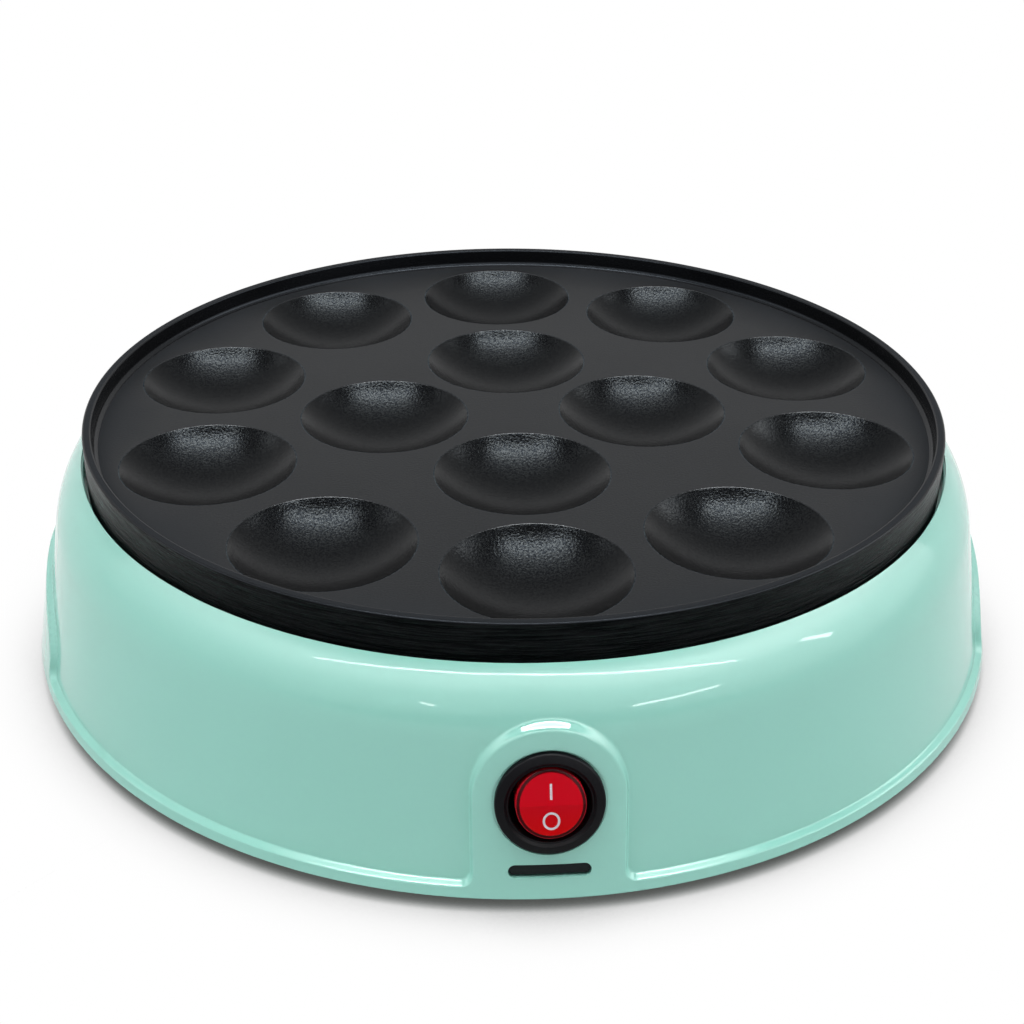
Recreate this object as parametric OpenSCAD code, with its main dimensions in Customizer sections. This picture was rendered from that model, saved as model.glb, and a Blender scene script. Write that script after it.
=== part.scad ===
// Poffertjes maker: a round countertop baker with a fixed cast plate of fourteen
// bowls in a moulded housing, one lit rocker switch and a screwed base cover.
// The part stands on its feet at z = 0, with the switch towards -Y.

/* [Baking plate] */
// Flat border between the outer bowls and the edge of the plate
plate_border = 7.1; // [6:0.1:9]
// Thickness of the rim wall
rim_t = 2.2; // [1.8:0.1:3]
// Depth of the baking surface below the top of the rim
rim_depth = 4.7; // [4:0.1:5.5]
// Height of the plate that shows above the housing
rim_show = 9.6; // [8.5:0.1:11]
// Thickness of the cast floor
plate_t = 3.6; // [3:0.1:4.2]
// Thickness of the cast bowls
bowl_t = 3.4; // [3:0.1:4]
// Diameter of a baking bowl
pit_d = 42.6; // [40:0.2:43.4]
// Depth of a baking bowl
pit_depth = 9; // [7:0.5:9.5]
// Radius of the outer ring of bowls
outer_ring_r = 79.6; // [78:0.2:81]
// Radius of the inner ring of bowls
inner_ring_r = 33.1; // [32:0.2:34]

/* [Housing] */
// Height from the lower edge of the housing to the top of the rim
body_h = 58; // [56:0.5:66]
// How far the foot lip stands out beyond the plate
base_reach = 16.5; // [16:0.5:22]
// Wall thickness of the moulding
wall_t = 2.4; // [2:0.1:2.8]
// Lean of the wall, in degrees
wall_lean = 10.2; // [9:0.1:12]
// How far the wall lies behind the lip and the pads
panel_set = 1.5; // [1.2:0.1:2]
// Radius of the rounded shoulder
shoulder_r = 27; // [22:0.5:30]
// Flat land around the plate
land_w = 1.3; // [0.6:0.1:1.8]
// Height of the lip's face
lip_h = 2.7; // [2.2:0.1:3.4]
// Gap between the plate and the housing
plate_gap = 0.6; // [0.4:0.1:1]
// Thickness of the inner shelf that carries the plate
shelf_t = 2.6; // [2.2:0.1:3]
// Depth of the shelf below the land
shelf_drop = 6; // [5.5:0.1:7]

/* [Pads] */
// Width of the switch pad's face
pad_w = 31.8; // [29:0.2:34]
// Width of a side grip pad
side_pad_w = 80; // [70:1:96]
// Height of a side grip pad above the lower edge
side_pad_h = 22.5; // [20:0.5:28]
// Length of the slot under the switch
slot_w = 17.5; // [12:0.5:20]
// Height of that slot
slot_h = 2.6; // [2:0.1:3]

/* [Switch] */
// Depth of the switch centre below the top of the rim
switch_drop = 35.8; // [35:0.1:37]
// Diameter of the switch bezel
bezel_d = 23; // [22:0.1:24]
// Thickness of the bezel
bezel_t = 1.9; // [1.5:0.1:2.4]
// Diameter of the switch barrel
barrel_d = 19.6; // [19.2:0.1:20.2]
// Diameter of the rocker
rocker_d = 14.9; // [14.4:0.1:15.2]
// Tilt of the rocker to each side of the middle, in degrees
rocker_tilt = 11; // [8:0.5:12]
// Slope of each half of the rocker's face, in degrees
rocker_roof = 8; // [5:0.5:10]
// Diameter of the rocker's pivot pins
pin_d = 2.4; // [2:0.1:2.8]

/* [Heater] */
// Diameter of the heater tube
tube_d = 6.5; // [6:0.1:6.8]
// Radius of the heater ring
heater_r = 56; // [55:0.2:57]
// Thickness of the reflector pan's sheet
sheet_t = 0.8; // [0.6:0.1:1]
// Depth of the reflector pan
pan_depth = 7.5; // [7:0.1:9]

/* [Base] */
// Gap between the floor and the housing
foot_gap = 3; // [2:0.5:5]
// Thickness of the base cover
cover_t = 2.6; // [2.2:0.1:3]
// Diameter of a rubber foot
foot_d = 16; // [12:0.5:18]
// Radius of the circle of feet
foot_ring_r = 98; // [90:1:100]
// Bore of the gland for the mains lead
gland_bore = 7; // [6:0.1:7.6]
// Diameter of an insulated wire
wire_d = 2.4; // [2:0.1:2.8]

/* [Hidden] */
$fn = 96;
// Small clearances and edge breaks
fit = 0.2;
running = 0.05;
edge = 0.4;
seat_gap = 0.15;
slack = 0.1;
eps = 0.01;

// Levels of the plate
base_z = foot_gap;
rim_z = base_z + body_h;
floor_z = rim_z - rim_depth;
under_z = floor_z - plate_t;
land_z = rim_z - rim_show;
shelf_z = land_z - shelf_drop;
washer_t = 1.2;
boss_z = shelf_z + sheet_t + washer_t;
skirt_z = boss_z + 1;

// Radii of the plate
pit_r = pit_d / 2;
plate_r = outer_ring_r + pit_r + plate_border;
bowl_r = (pit_r * pit_r + pit_depth * pit_depth) / (2 * pit_depth);
bowl_z = floor_z - pit_depth + bowl_r;
skirt_r = plate_r - 4;
boss_d = 9;
boss_grip = 4.6;
boss_ring_r = skirt_r - boss_d / 2 + 0.3;
floor_fillet = 1.2;
outer_pits = 10;
inner_pits = 4;
front = -90;

// Shell of the housing
opening_r = plate_r + plate_gap;
lip_r = plate_r + base_reach;
lip_round = 0.8;
ledge_fillet = 0.5;
ledge_z = base_z + lip_h + lip_round;
shelf_r = boss_ring_r - 4.8;
seat_z = base_z + edge + cover_t;
rebate_r = wall_r(seat_z) - 1;
crest = [opening_r + land_w, land_z];
crest_in = (wall_r(land_z) - crest[0]) * cos(wall_lean);
crest_run = sqrt(pow(shoulder_r, 2) - pow(shoulder_r - crest_in, 2));
arc_c = crest + (shoulder_r - crest_in) * [-cos(wall_lean), -sin(wall_lean)]
    - crest_run * [-sin(wall_lean), cos(wall_lean)];
arc_top = atan2(crest[1] - arc_c[1], crest[0] - arc_c[0]);
inner_arc_r = shoulder_r - wall_t;
lip_in_r = opening_r + wall_t;
inner_arc_top = acos((lip_in_r - arc_c[0]) / inner_arc_r);
column_d = 8.4;
column_ring_r = opening_r - column_d / 2 - 0.4;
column_z = seat_z + 4;

// Places round the part
plate_screw_angles = [for (i = [0:4]) front + 18 + 72 * i];
cover_screw_angles = [for (i = [0:4]) front + 54 + 72 * i];
foot_angles = [for (i = [0:3]) 45 + 90 * i];
clip_angles = [for (i = [0:3]) 45 + 90 * i];

// Screws
m4_d = 4;
m3_d = 3;
tap_d = 2.9;
head_h = 2.2;
m4_head_d = 8;
m3_head_d = 6;
short_l = 4;
middle_l = 6;
long_l = 7;
cover_screw_l = 14;
cover_head_d = 6.6;
foot_hole_d = 6;

// Switch seat on the front pad
switch_z = rim_z - switch_drop;
seat_d = bezel_d + 1;
cone_at_switch = cone_r(switch_z);
seat_sink = cone_at_switch - sqrt(pow(cone_at_switch, 2) - pow(seat_d / 2, 2)) + 0.05;
seat_r = cone_at_switch - seat_sink / cos(wall_lean);
slot_y = -15.8;
catch_l = 5.6;
catch_sink = 0.3;
upstand_h = 6.6;
pad_depth = 8;
pad_draft = 1.4;
pad_rise = 1.2;

// Inside the switch, along its own outward axis
barrel_len = 16.5;
pocket_r = 8.6;
opening_d = 17.6;
pocket_z = -14.5;
axis_z = -2;
crease_z = 6;
lens_z = 2.6;
skirt_low = -3.2;
stem_d = 4.6;
stem_z = -6.2;
plunger_d = 3.1;
tip_z = -7.6;
spring_top = 1.7;
plunger_top = -2.6;
blade_z = -12;
blade_t = 0.6;
blade_v = 8;
blade_tilt = 6;
blade_half = 5;
tab_w = 4.8;
tab_t = 0.8;
tab_len = 8.5;
tab_y = [-6, 0, 6];

// Heater under the plate
tube_r = tube_d / 2;
heater_z = floor_z - 9.3;
heater_gap = 14;
elbow_r = 7;
leg_len = 7;
leg_z = heater_z - elbow_r - leg_len;
bead_h = 6;
leg_tab_l = 9;
leg_tab_reach = 10;
lead_d = 2.4;
rib_w = tube_d + 2;
clip_boss_r = heater_r - rib_w / 2 - 5.25;
clip_t = 1;
clip_z = heater_z - tube_r - seat_gap;
pan_z = shelf_z - pan_depth;
pan_r = shelf_r - fit * 3;

// Thermostat under the middle of the plate
stat_z = under_z - 6.7;
stat_d = 15.8;
stat_body_d = 17;
stat_cap_h = 4;
stat_body_h = 9;
stat_screw_r = 14.5;
stat_angles = [45, 225];
stat_hole_r = stat_body_d / 2 + 2.5;
stat_tab_x = 5;
stat_tab_l = 11.8;
stat_tab_reach = 8;
bracket_z = stat_z - stat_cap_h + sheet_t;

// Thermal fuse in its sleeve under the pan
sleeve_d = 5.6;
sleeve_bore = 4.6;
sleeve_y = [18, 42];
fuse_mid = (sleeve_y[0] + sleeve_y[1]) / 2;
fuse_x = 14;
fuse_z = pan_z - sleeve_d / 2 - 0.3;
fuse_screw_x = fuse_x + 9;

// Terminal block and earth point
block_size = [38, 18, 14];
block_y = 88;
block_pitch = 9;
barrel_tube_d = 5;
clamp_d = 2.4;
clamp_h = 3.6;
clamp_at = 5;
clamp_y = [-clamp_at, clamp_at];
port_d = 3;
screwdriver_slot = 0.6;
block_front = block_y - block_size[1] / 2;
port_x = [for (k = [0:3]) (k - 1.5) * block_pitch];
port_z = seat_z + 8;
earth_at = [-32, 58];
lug_l = 11;

// Gland in the back wall
gland_rise = 15;
gland_z = base_z + gland_rise;
gland_r = wall_r(gland_z) - 0.25;
gland_seat_d = 16;
gland_hole_d = 11;

// Routes of the wires between their ends, in millimetres
stat_tab_z = stat_z - stat_cap_h - stat_body_h - stat_tab_reach;
leg_tab_z = leg_z - bead_h - leg_tab_reach;
live_route = [[-30, 55, 12], [-34, 10, 11], [-30, -50, 12], [-12, -80, 17]];
switched_route = [[6, -60, 12], [4, -30, 12], [-4, -9, 14]];
fuse_route = [[9, 5, 17], [13, 9, 26]];
element_route = [[18, 54, 24], [15, 58, 13]];
neutral_route = [[1, 68, 11.5]];
lamp_route = [[32, 55, 12], [36, 10, 11], [30, -50, 13], [12, -78, 23]];
earth_route = [[-9, heater_leg(-1)[1] + 12, 20],
    [heater_leg(-1)[0] - 6.2, heater_leg(-1)[1] + 5, 31]];

// Radius of the wall and of the lip's cone at a height
function wall_r(z) = cone_r(z) - panel_set;
function cone_r(z) = lip_r - (z - base_z) * tan(wall_lean);
function inner_r(z) = wall_r(z) - wall_t / cos(wall_lean);
function arc(c, r, a, b, n) = [for (i = [0:n]) let (t = a + (b - a) * i / n) c + r * [cos(t), sin(t)]];
function polar(r, a, z) = [r * cos(a), r * sin(a), z];

// Centres of the bowls, one of each ring in line with the switch
function pit_places() = concat(
    [for (i = [0:outer_pits - 1]) polar(outer_ring_r, front + i * 360 / outer_pits, 0)],
    [for (i = [0:inner_pits - 1]) polar(inner_ring_r, front + i * 360 / inner_pits, 0)]);

// Frames: the switch on the front pad, its tilted rocker, and the gland at the back
module at_switch() {
    translate([0, -seat_r, switch_z]) rotate([90 - wall_lean, 0, 0]) children();
}
module at_rocker() {
    at_switch() translate([0, 0, axis_z]) rotate([-rocker_tilt, 0, 0]) children();
}
module at_gland() {
    translate([0, gland_r, gland_z]) rotate([wall_lean - 90, 0, 0]) children();
}
function switch_point(p) = [p[0],
    -seat_r + p[1] * sin(wall_lean) - p[2] * cos(wall_lean),
    switch_z + p[1] * cos(wall_lean) + p[2] * sin(wall_lean)];

// Ends of the wires: square to a port, a switch tab or a heater tab
function from_port(k) = [for (y = [block_y - 6, block_front, block_front - 4]) [port_x[k], y, port_z]];
function to_tab(k) = [for (run = [9, 5, 0.1]) switch_point([0, tab_y[k], -barrel_len - tab_len - run])];
function to_leg(side) = let (at = heater_leg(side))
    [for (p = [[4, -6], [0, -5], [0, -2.5], [0, -0.1]]) [at[0] + side * p[0], at[1], leg_tab_z + p[1]]];
function to_stat(side) = [for (drop = [8, 4, 0.1]) [side * stat_tab_x, 0, stat_tab_z - drop]];
function back(route) = [for (i = [len(route) - 1:-1:0]) route[i]];

// Copies on a circle
module ring_of(angles, r, z) {
    for (a = angles) rotate(a) translate([r, 0, z]) children();
}

// A pan-head screw that points up, with its head below z = 0
module screw(d, length, head_d) {
    rotate_extrude() polygon([
        [0, -head_h], [head_d / 2 - 0.8, -head_h], [head_d / 2, -head_h + 0.8], [head_d / 2, 0],
        [d / 2, 0], [d / 2, length - 0.6], [d / 2 - 0.6, length], [0, length]]);
}

// Smooth tube along a route: a spline through its points, swept without twist
function spline(p) = concat(
    [for (i = [0:len(p) - 2]) for (s = [0:3]) spline_at(p, i, s / 4)],
    [p[len(p) - 1]]);
function spline_at(p, i, t) =
    let (a = p[max(i - 1, 0)], b = p[i], c = p[i + 1], d = p[min(i + 2, len(p) - 1)])
    0.5 * (2 * b + (c - a) * t + (2 * a - 5 * b + 4 * c - d) * t * t
        + (3 * b - 3 * c + d - a) * t * t * t);
function unit(v) = v / norm(v);
function tangents(p) = [for (i = [0:len(p) - 1]) unit(p[min(i + 1, len(p) - 1)] - p[max(i - 1, 0)])];
function normal_at(t, i) = i == 0
    ? unit(cross(t[0], abs(t[0][2]) < 0.8 ? [0, 0, 1] : [1, 0, 0]))
    : let (n = normal_at(t, i - 1)) unit(n - t[i] * (n * t[i]));
module sweep(p, d, sides) {
    t = tangents(p);
    count = len(p);
    rings = [for (i = [0:count - 1]) let (u = normal_at(t, i), v = cross(t[i], u))
        for (k = [0:sides - 1]) p[i] + d / 2 * (cos(360 * k / sides) * u + sin(360 * k / sides) * v)];
    sidewalls = [for (i = [0:count - 2]) for (k = [0:sides - 1])
        let (a = i * sides + k, b = i * sides + (k + 1) % sides)
        for (f = [[a, b + sides, b], [a, a + sides, b + sides]]) f];
    caps = [for (k = [1:sides - 2]) for (f = [[0, k, k + 1],
        [(count - 1) * sides, (count - 1) * sides + k + 1, (count - 1) * sides + k]]) f];
    polyhedron(points = rings, faces = concat(sidewalls, caps));
}

// Moulded housing: lip, leaning wall, rounded shoulder and the inner shelf for the plate
module housing_section() {
    ledge_r = wall_r(ledge_z);
    lip_top = base_z + lip_h;
    polygon(concat(
        [[rebate_r, base_z], [lip_r - edge, base_z], [cone_r(base_z + edge), base_z + edge]],
        arc([cone_r(lip_top) - lip_round, lip_top], lip_round, 0, 90, 6),
        arc([ledge_r + ledge_fillet, ledge_z + ledge_fillet], ledge_fillet, 270, 180 + wall_lean, 4),
        arc(arc_c, shoulder_r, wall_lean, arc_top - 1, 16),
        [[crest[0] - edge, land_z], [opening_r + edge, land_z], [opening_r, land_z - edge],
         [opening_r, shelf_z], [shelf_r, shelf_z], [shelf_r, shelf_z - shelf_t],
         [lip_in_r, shelf_z - shelf_t]],
        arc(arc_c, inner_arc_r, inner_arc_top, wall_lean, 8),
        [[inner_r(seat_z), seat_z], [rebate_r, seat_z]]));
}
// Outer skin of the pads, flush with the face of the lip
module pad_ring(top) {
    low = base_z + 2 * edge;
    sunk = wall_t / 3;
    rotate_extrude() polygon([
        [wall_r(low) - sunk, low], [cone_r(low), low],
        [cone_r(top), top], [wall_r(top) - sunk, top]]);
}
module arch_block() {
    top_r = pad_w / 2 - pad_draft / 8;
    low_r = pad_w / 2 + pad_draft;
    at_switch() {
        translate([0, pad_rise, 1 - pad_depth]) cylinder(h = pad_depth, r1 = low_r, r2 = top_r);
        translate([0, pad_rise, 0]) rotate([90, 0, 0]) linear_extrude(switch_z + pad_rise) polygon([
            [-low_r, 1 - pad_depth], [low_r, 1 - pad_depth], [top_r, 1], [-top_r, 1]]);
    }
}
module side_arch() {
    spring_line = base_z + 7;
    rise = base_z + side_pad_h - spring_line;
    half = side_pad_w / 2;
    rotate([90, 0, 90]) linear_extrude(2 * lip_r, center = true) polygon(concat(
        [[-half, 0], [half, 0]],
        [for (a = [0:7.5:180]) [half * cos(a), spring_line + rise * sin(a)]]));
}
module pads() {
    intersection() {
        pad_ring(switch_z + pad_rise + pad_w / 2 + 4);
        arch_block();
    }
    intersection() {
        pad_ring(base_z + side_pad_h + 1);
        side_arch();
    }
}
// Round-ended bar in the slot's place, between two levels along the switch's axis
module slot_bar(low, high, h) {
    half = (slot_w - slot_h) / 2;
    at_switch() {
        for (s = [-1, 1]) translate([s * half, slot_y, low]) cylinder(h = high - low, d = h);
        translate([-half, slot_y - h / 2, low]) cube([2 * half, h, high - low]);
    }
}
module switch_cutouts() {
    slot_bar(-barrel_len / 2, bezel_t, slot_h);
    at_switch() {
        cylinder(h = 2 * bezel_t, d = seat_d);
        translate([0, 0, -barrel_len]) cylinder(h = barrel_len + bezel_t, d = barrel_d + 2 * fit);
    }
}
module gland_cutouts() {
    at_gland() {
        cylinder(h = 5, d = gland_seat_d);
        translate([0, 0, -8]) cylinder(h = 10, d = gland_hole_d);
    }
}
module housing() {
    color("#8fc4b8") difference() {
        union() {
            rotate_extrude($fn = 180) housing_section();
            pads();
            ring_of(cover_screw_angles, column_ring_r, column_z)
                cylinder(h = shelf_z - shelf_t / 2 - column_z, d = column_d);
        }
        switch_cutouts();
        gland_cutouts();
        ring_of(cover_screw_angles, column_ring_r, column_z - 1) cylinder(h = cover_screw_l + 1, d = tap_d);
        ring_of(plate_screw_angles, boss_ring_r, shelf_z - shelf_t - 1)
            cylinder(h = shelf_t + 2, d = m4_d + 3 * fit);
    }
}

// Base cover: vented disc with screw bosses, and an upstand whose catch fills the slot
module base_cover() {
    cover_z = seat_z - cover_t;
    vent_l = 26;
    vent_w = 3;
    vent_x = 45;
    vent_pitch = 8;
    upstand_r = inner_r(seat_z + upstand_h) - 1;
    color("#1d1f21") difference() {
        union() {
            translate([0, 0, cover_z]) cylinder(h = cover_t, r = rebate_r - fit);
            ring_of(cover_screw_angles, column_ring_r, cover_z)
                cylinder(h = column_z - cover_z, d = column_d + 3);
            translate([-slot_w / 2 - 2, -upstand_r, seat_z - eps]) cube([slot_w + 4, 2, upstand_h]);
            slot_bar(-catch_l, -catch_sink, slot_h - 2 * fit);
        }
        ring_of(cover_screw_angles, column_ring_r, cover_z - 1) {
            cylinder(h = column_z - cover_z + 2, d = tap_d + 4 * fit);
            cylinder(h = column_z - cover_z - head_h - fit, d = cover_head_d + 4 * fit);
        }
        ring_of(foot_angles, foot_ring_r, cover_z - 1) cylinder(h = cover_t + 2, d = foot_hole_d);
        translate([0, block_y, cover_z - 1]) cylinder(h = cover_t + 2, d = m3_d + 2 * fit);
        for (side = [-1, 1]) for (k = [-3:3])
            translate([side * vent_x - vent_l / 2, k * vent_pitch - vent_w / 2, cover_z - 1])
                cube([vent_l, vent_w, cover_t + 2]);
    }
}

// Push-in rubber foot
module foot(i) {
    stem_r = foot_hole_d / 2 - fit / 2;
    cover_z = seat_z - cover_t;
    color("#2b2b2b") rotate(foot_angles[i]) translate([foot_ring_r, 0, 0]) rotate_extrude() polygon([
        [0, 0], [foot_d / 2 - 1, 0], [foot_d / 2, 1], [foot_d / 2 - 0.5, cover_z], [stem_r, cover_z],
        [stem_r, seat_z], [stem_r + 1, seat_z], [stem_r + 1, seat_z + 0.6], [2.2, seat_z + 2.4],
        [0, seat_z + 2.4]]);
}
module cover_screws() {
    color("silver") ring_of(cover_screw_angles, column_ring_r, column_z - head_h - fit - 1)
        screw(tap_d - slack, cover_screw_l, cover_head_d);
}

// Cast plate: rim, floor and skirt turned in one section, bowls that show below as domes
module plate_section() {
    inner = plate_r - rim_t;
    polygon(concat(
        [[0, under_z], [skirt_r, under_z], [skirt_r, skirt_z], [plate_r, skirt_z],
         [plate_r, rim_z - edge], [plate_r - edge, rim_z], [inner + edge, rim_z], [inner, rim_z - edge]],
        arc([inner - floor_fillet, floor_z + floor_fillet], floor_fillet, 0, -90, 4),
        [[0, floor_z]]));
}
module heater_rib() {
    rotate_extrude() translate([heater_r - rib_w / 2, heater_z]) square([rib_w, under_z - heater_z + 1]);
}
module baking_plate() {
    color("#39393b") difference() {
        union() {
            rotate_extrude($fn = 180) plate_section();
            intersection() {
                for (p = pit_places()) translate([p[0], p[1], bowl_z]) sphere(r = bowl_r + bowl_t);
                cylinder(h = under_z + 1, r = skirt_r - 1);
            }
            heater_rib();
            ring_of(plate_screw_angles, boss_ring_r, boss_z) cylinder(h = under_z - boss_z + 1, d = boss_d);
            ring_of(clip_angles, clip_boss_r, clip_z) cylinder(h = under_z - clip_z + 1, d = 8);
            translate([0, 0, stat_z]) cylinder(h = under_z - stat_z + 1, r = stat_d / 2 + 1.6);
            ring_of(stat_angles, stat_screw_r, bracket_z + sheet_t)
                cylinder(h = under_z - bracket_z, d = 7);
        }
        for (p = pit_places()) translate([p[0], p[1], bowl_z]) sphere(r = bowl_r);
        rotate_extrude() translate([heater_r, heater_z]) circle(r = tube_r + seat_gap);
        ring_of(plate_screw_angles, boss_ring_r, boss_z - 1) cylinder(h = 6, d = m4_d);
        ring_of(clip_angles, clip_boss_r, clip_z - 1) cylinder(h = 8, d = m3_d);
        ring_of(stat_angles, stat_screw_r, bracket_z - 1) cylinder(h = 8, d = m3_d);
    }
}
module plate_washers() {
    color("#d8cfb8") ring_of(plate_screw_angles, boss_ring_r, shelf_z + sheet_t) difference() {
        cylinder(h = washer_t, d = boss_d);
        translate([0, 0, -1]) cylinder(h = washer_t + 2, d = m4_d + 2 * fit);
    }
}
module plate_screws() {
    color("silver") ring_of(plate_screw_angles, boss_ring_r, shelf_z - shelf_t)
        screw(m4_d - slack, shelf_t + sheet_t + washer_t + boss_grip, m4_head_d);
}

// Heater: an open ring of sheathed tube with both ends turned down
function heater_leg(side) = [side * (heater_r * sin(heater_gap) - elbow_r * cos(heater_gap)),
    heater_r * cos(heater_gap) + elbow_r * sin(heater_gap)];
function heater_elbow(side, t) = polar(heater_r, 90 - side * heater_gap, heater_z)
    + elbow_r * [-side * cos(heater_gap) * sin(t), sin(heater_gap) * sin(t), cos(t) - 1];
function heater_end(side) = concat(
    [for (t = [15:15:90]) heater_elbow(side, t)],
    [[heater_leg(side)[0], heater_leg(side)[1], leg_z]]);
module at_legs() {
    for (side = [-1, 1]) translate([heater_leg(side)[0], heater_leg(side)[1], leg_z]) children();
}
module heating_element() {
    steps = 60;
    turn = (360 - 2 * heater_gap) / steps;
    ring = [for (i = [0:steps]) polar(heater_r, 90 + heater_gap + turn * i, heater_z)];
    color("#6f6a66") sweep(concat(back(heater_end(-1)), ring, heater_end(1)), tube_d, 16);
}
module element_insulators() {
    color("ivory") at_legs() difference() {
        translate([0, 0, -bead_h]) cylinder(h = bead_h, d = tube_d + 1.5);
        translate([0, 0, -bead_h - 1]) cylinder(h = bead_h + 2, d = lead_d + fit);
    }
}
module element_tabs() {
    color("gainsboro") at_legs() {
        translate([0, 0, -bead_h - 2]) cylinder(h = bead_h + 2, d = lead_d);
        translate([-tab_w / 2, -tab_t / 2, -bead_h - leg_tab_reach]) cube([tab_w, tab_t, leg_tab_l]);
    }
}
module element_clips() {
    inner_end = clip_boss_r - 5;
    color("silver") ring_of(clip_angles, 0, clip_z - clip_t) difference() {
        translate([inner_end, -5, 0]) cube([heater_r + rib_w / 2 - inner_end, 10, clip_t]);
        translate([clip_boss_r, 0, -1]) cylinder(h = clip_t + 2, d = m3_d + 2 * fit);
    }
}
module clip_screws() {
    color("gainsboro") ring_of(clip_angles, clip_boss_r, clip_z - clip_t)
        screw(m3_d - slack, long_l, m3_head_d);
}

// Reflector pan of bright sheet, clamped between the shelf and the plate
module reflector_pan() {
    bend = 2;
    color("lightgray") difference() {
        rotate_extrude($fn = 180) polygon([
            [stat_hole_r, pan_z], [pan_r - bend, pan_z], [pan_r, pan_z + bend], [pan_r, shelf_z],
            [opening_r - 1.8, shelf_z], [opening_r - 1.8, shelf_z + sheet_t],
            [pan_r - sheet_t, shelf_z + sheet_t], [pan_r - sheet_t, pan_z + bend + sheet_t / 2],
            [pan_r - bend - sheet_t / 2, pan_z + sheet_t], [stat_hole_r, pan_z + sheet_t]]);
        ring_of(plate_screw_angles, boss_ring_r, shelf_z - 1) cylinder(h = 4, d = m4_d + 2 * fit);
        at_legs() cylinder(h = 2 * leg_len, d = tube_d + 3);
        translate([fuse_screw_x, fuse_mid, pan_z - 1]) cylinder(h = 4, d = m3_d);
        translate([earth_at[0], earth_at[1], pan_z - 1]) cylinder(h = 4, d = m3_d);
    }
}

// Snap-disc thermostat held up against the middle of the plate
module thermostat_cap() {
    color("silver") translate([0, 0, stat_z - stat_cap_h]) rotate_extrude() polygon([
        [0, 0], [stat_body_d / 2, 0], [stat_body_d / 2, sheet_t], [stat_d / 2, sheet_t],
        [stat_d / 2, stat_cap_h - edge], [stat_d / 2 - edge, stat_cap_h], [0, stat_cap_h]]);
}
module thermostat_body() {
    color("#3a2b20") translate([0, 0, stat_z - stat_cap_h - stat_body_h]) difference() {
        cylinder(h = stat_body_h, d = stat_body_d);
        for (s = [-1, 1]) translate([s * stat_tab_x - tab_t / 2 - running, -tab_w / 2 - running, -1])
            cube([tab_t + 2 * running, tab_w + 2 * running, 5]);
    }
}
module thermostat_tabs() {
    color("gold") for (s = [-1, 1])
        translate([s * stat_tab_x - tab_t / 2, -tab_w / 2, stat_tab_z]) cube([tab_t, tab_w, stat_tab_l]);
}
module thermostat_bracket() {
    ear = stat_screw_r + 4;
    color("silver") rotate(stat_angles[0]) translate([0, 0, bracket_z]) difference() {
        union() {
            cylinder(h = sheet_t, d = stat_body_d + 3);
            translate([-ear, -4, 0]) cube([2 * ear, 8, sheet_t]);
        }
        translate([0, 0, -1]) cylinder(h = 3, d = stat_d + 2 * fit);
        for (s = [-1, 1]) translate([s * stat_screw_r, 0, -1]) cylinder(h = 3, d = m3_d + 2 * fit);
    }
}
module bracket_screws() {
    color("gainsboro") ring_of(stat_angles, stat_screw_r, bracket_z)
        screw(m3_d - slack, middle_l, m3_head_d);
}

// Thermal fuse in a woven sleeve, clipped to the pan
module at_fuse(y) {
    translate([fuse_x, y, fuse_z]) rotate([-90, 0, 0]) children();
}
module thermal_fuse() {
    run = sleeve_y[1] - sleeve_y[0];
    color("goldenrod") at_fuse(sleeve_y[0]) {
        cylinder(h = run, d = 1);
        translate([0, 0, run / 2 - 6]) cylinder(h = 12, d = sleeve_bore - fit);
    }
}
module fuse_sleeve() {
    run = sleeve_y[1] - sleeve_y[0];
    color("white") at_fuse(sleeve_y[0]) difference() {
        cylinder(h = run, d = sleeve_d);
        translate([0, 0, -1]) cylinder(h = run + 2, d = sleeve_bore);
    }
}
module fuse_clip() {
    width = 8;
    hook_r = sleeve_d / 2 + sheet_t;
    color("silver") difference() {
        union() {
            at_fuse(fuse_mid - width / 2) cylinder(h = width, r = hook_r);
            translate([fuse_x, fuse_mid - width / 2, pan_z - sheet_t])
                cube([fuse_screw_x - fuse_x + 4, width, sheet_t]);
            translate([fuse_x + sleeve_d / 2, fuse_mid - width / 2, fuse_z])
                cube([sheet_t, width, pan_z - fuse_z]);
        }
        at_fuse(fuse_mid - width) cylinder(h = 2 * width, d = sleeve_d + 2 * running);
        translate([fuse_x - hook_r - 1, fuse_mid - width, fuse_z])
            cube([hook_r + 1, 2 * width, hook_r + 1]);
        translate([fuse_x - eps, fuse_mid - width, fuse_z]) cube([sleeve_d / 2, 2 * width, hook_r + 1]);
        translate([fuse_screw_x, fuse_mid, pan_z - 3]) cylinder(h = 4, d = m3_d + 2 * fit);
    }
}
module fuse_clip_screw() {
    color("gainsboro") translate([fuse_screw_x, fuse_mid, pan_z - sheet_t])
        screw(m3_d - slack, short_l, m3_head_d);
}

// Terminal block on the cover, with four drilled brass sleeves
module at_ports() {
    for (x = port_x) translate([x, block_y, port_z]) children();
}
module terminal_block() {
    color("ivory") difference() {
        translate([-block_size[0] / 2, block_front, seat_z]) cube(block_size);
        at_ports() rotate([90, 0, 0])
            cylinder(h = block_size[1] + 2, d = barrel_tube_d + fit, center = true);
        at_ports() for (y = clamp_y) translate([0, y, 0]) cylinder(h = 10, d = clamp_d + 1.6);
        translate([0, block_y, seat_z - 1]) cylinder(h = 6, d = tap_d);
    }
}
module terminal_sleeves() {
    color("goldenrod") at_ports() difference() {
        rotate([90, 0, 0]) cylinder(h = block_size[1] - 2, d = barrel_tube_d, center = true);
        rotate([90, 0, 0]) cylinder(h = block_size[1], d = port_d, center = true);
        for (y = clamp_y) translate([0, y, 0]) cylinder(h = barrel_tube_d, d = clamp_d + 2 * running);
    }
}
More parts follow.
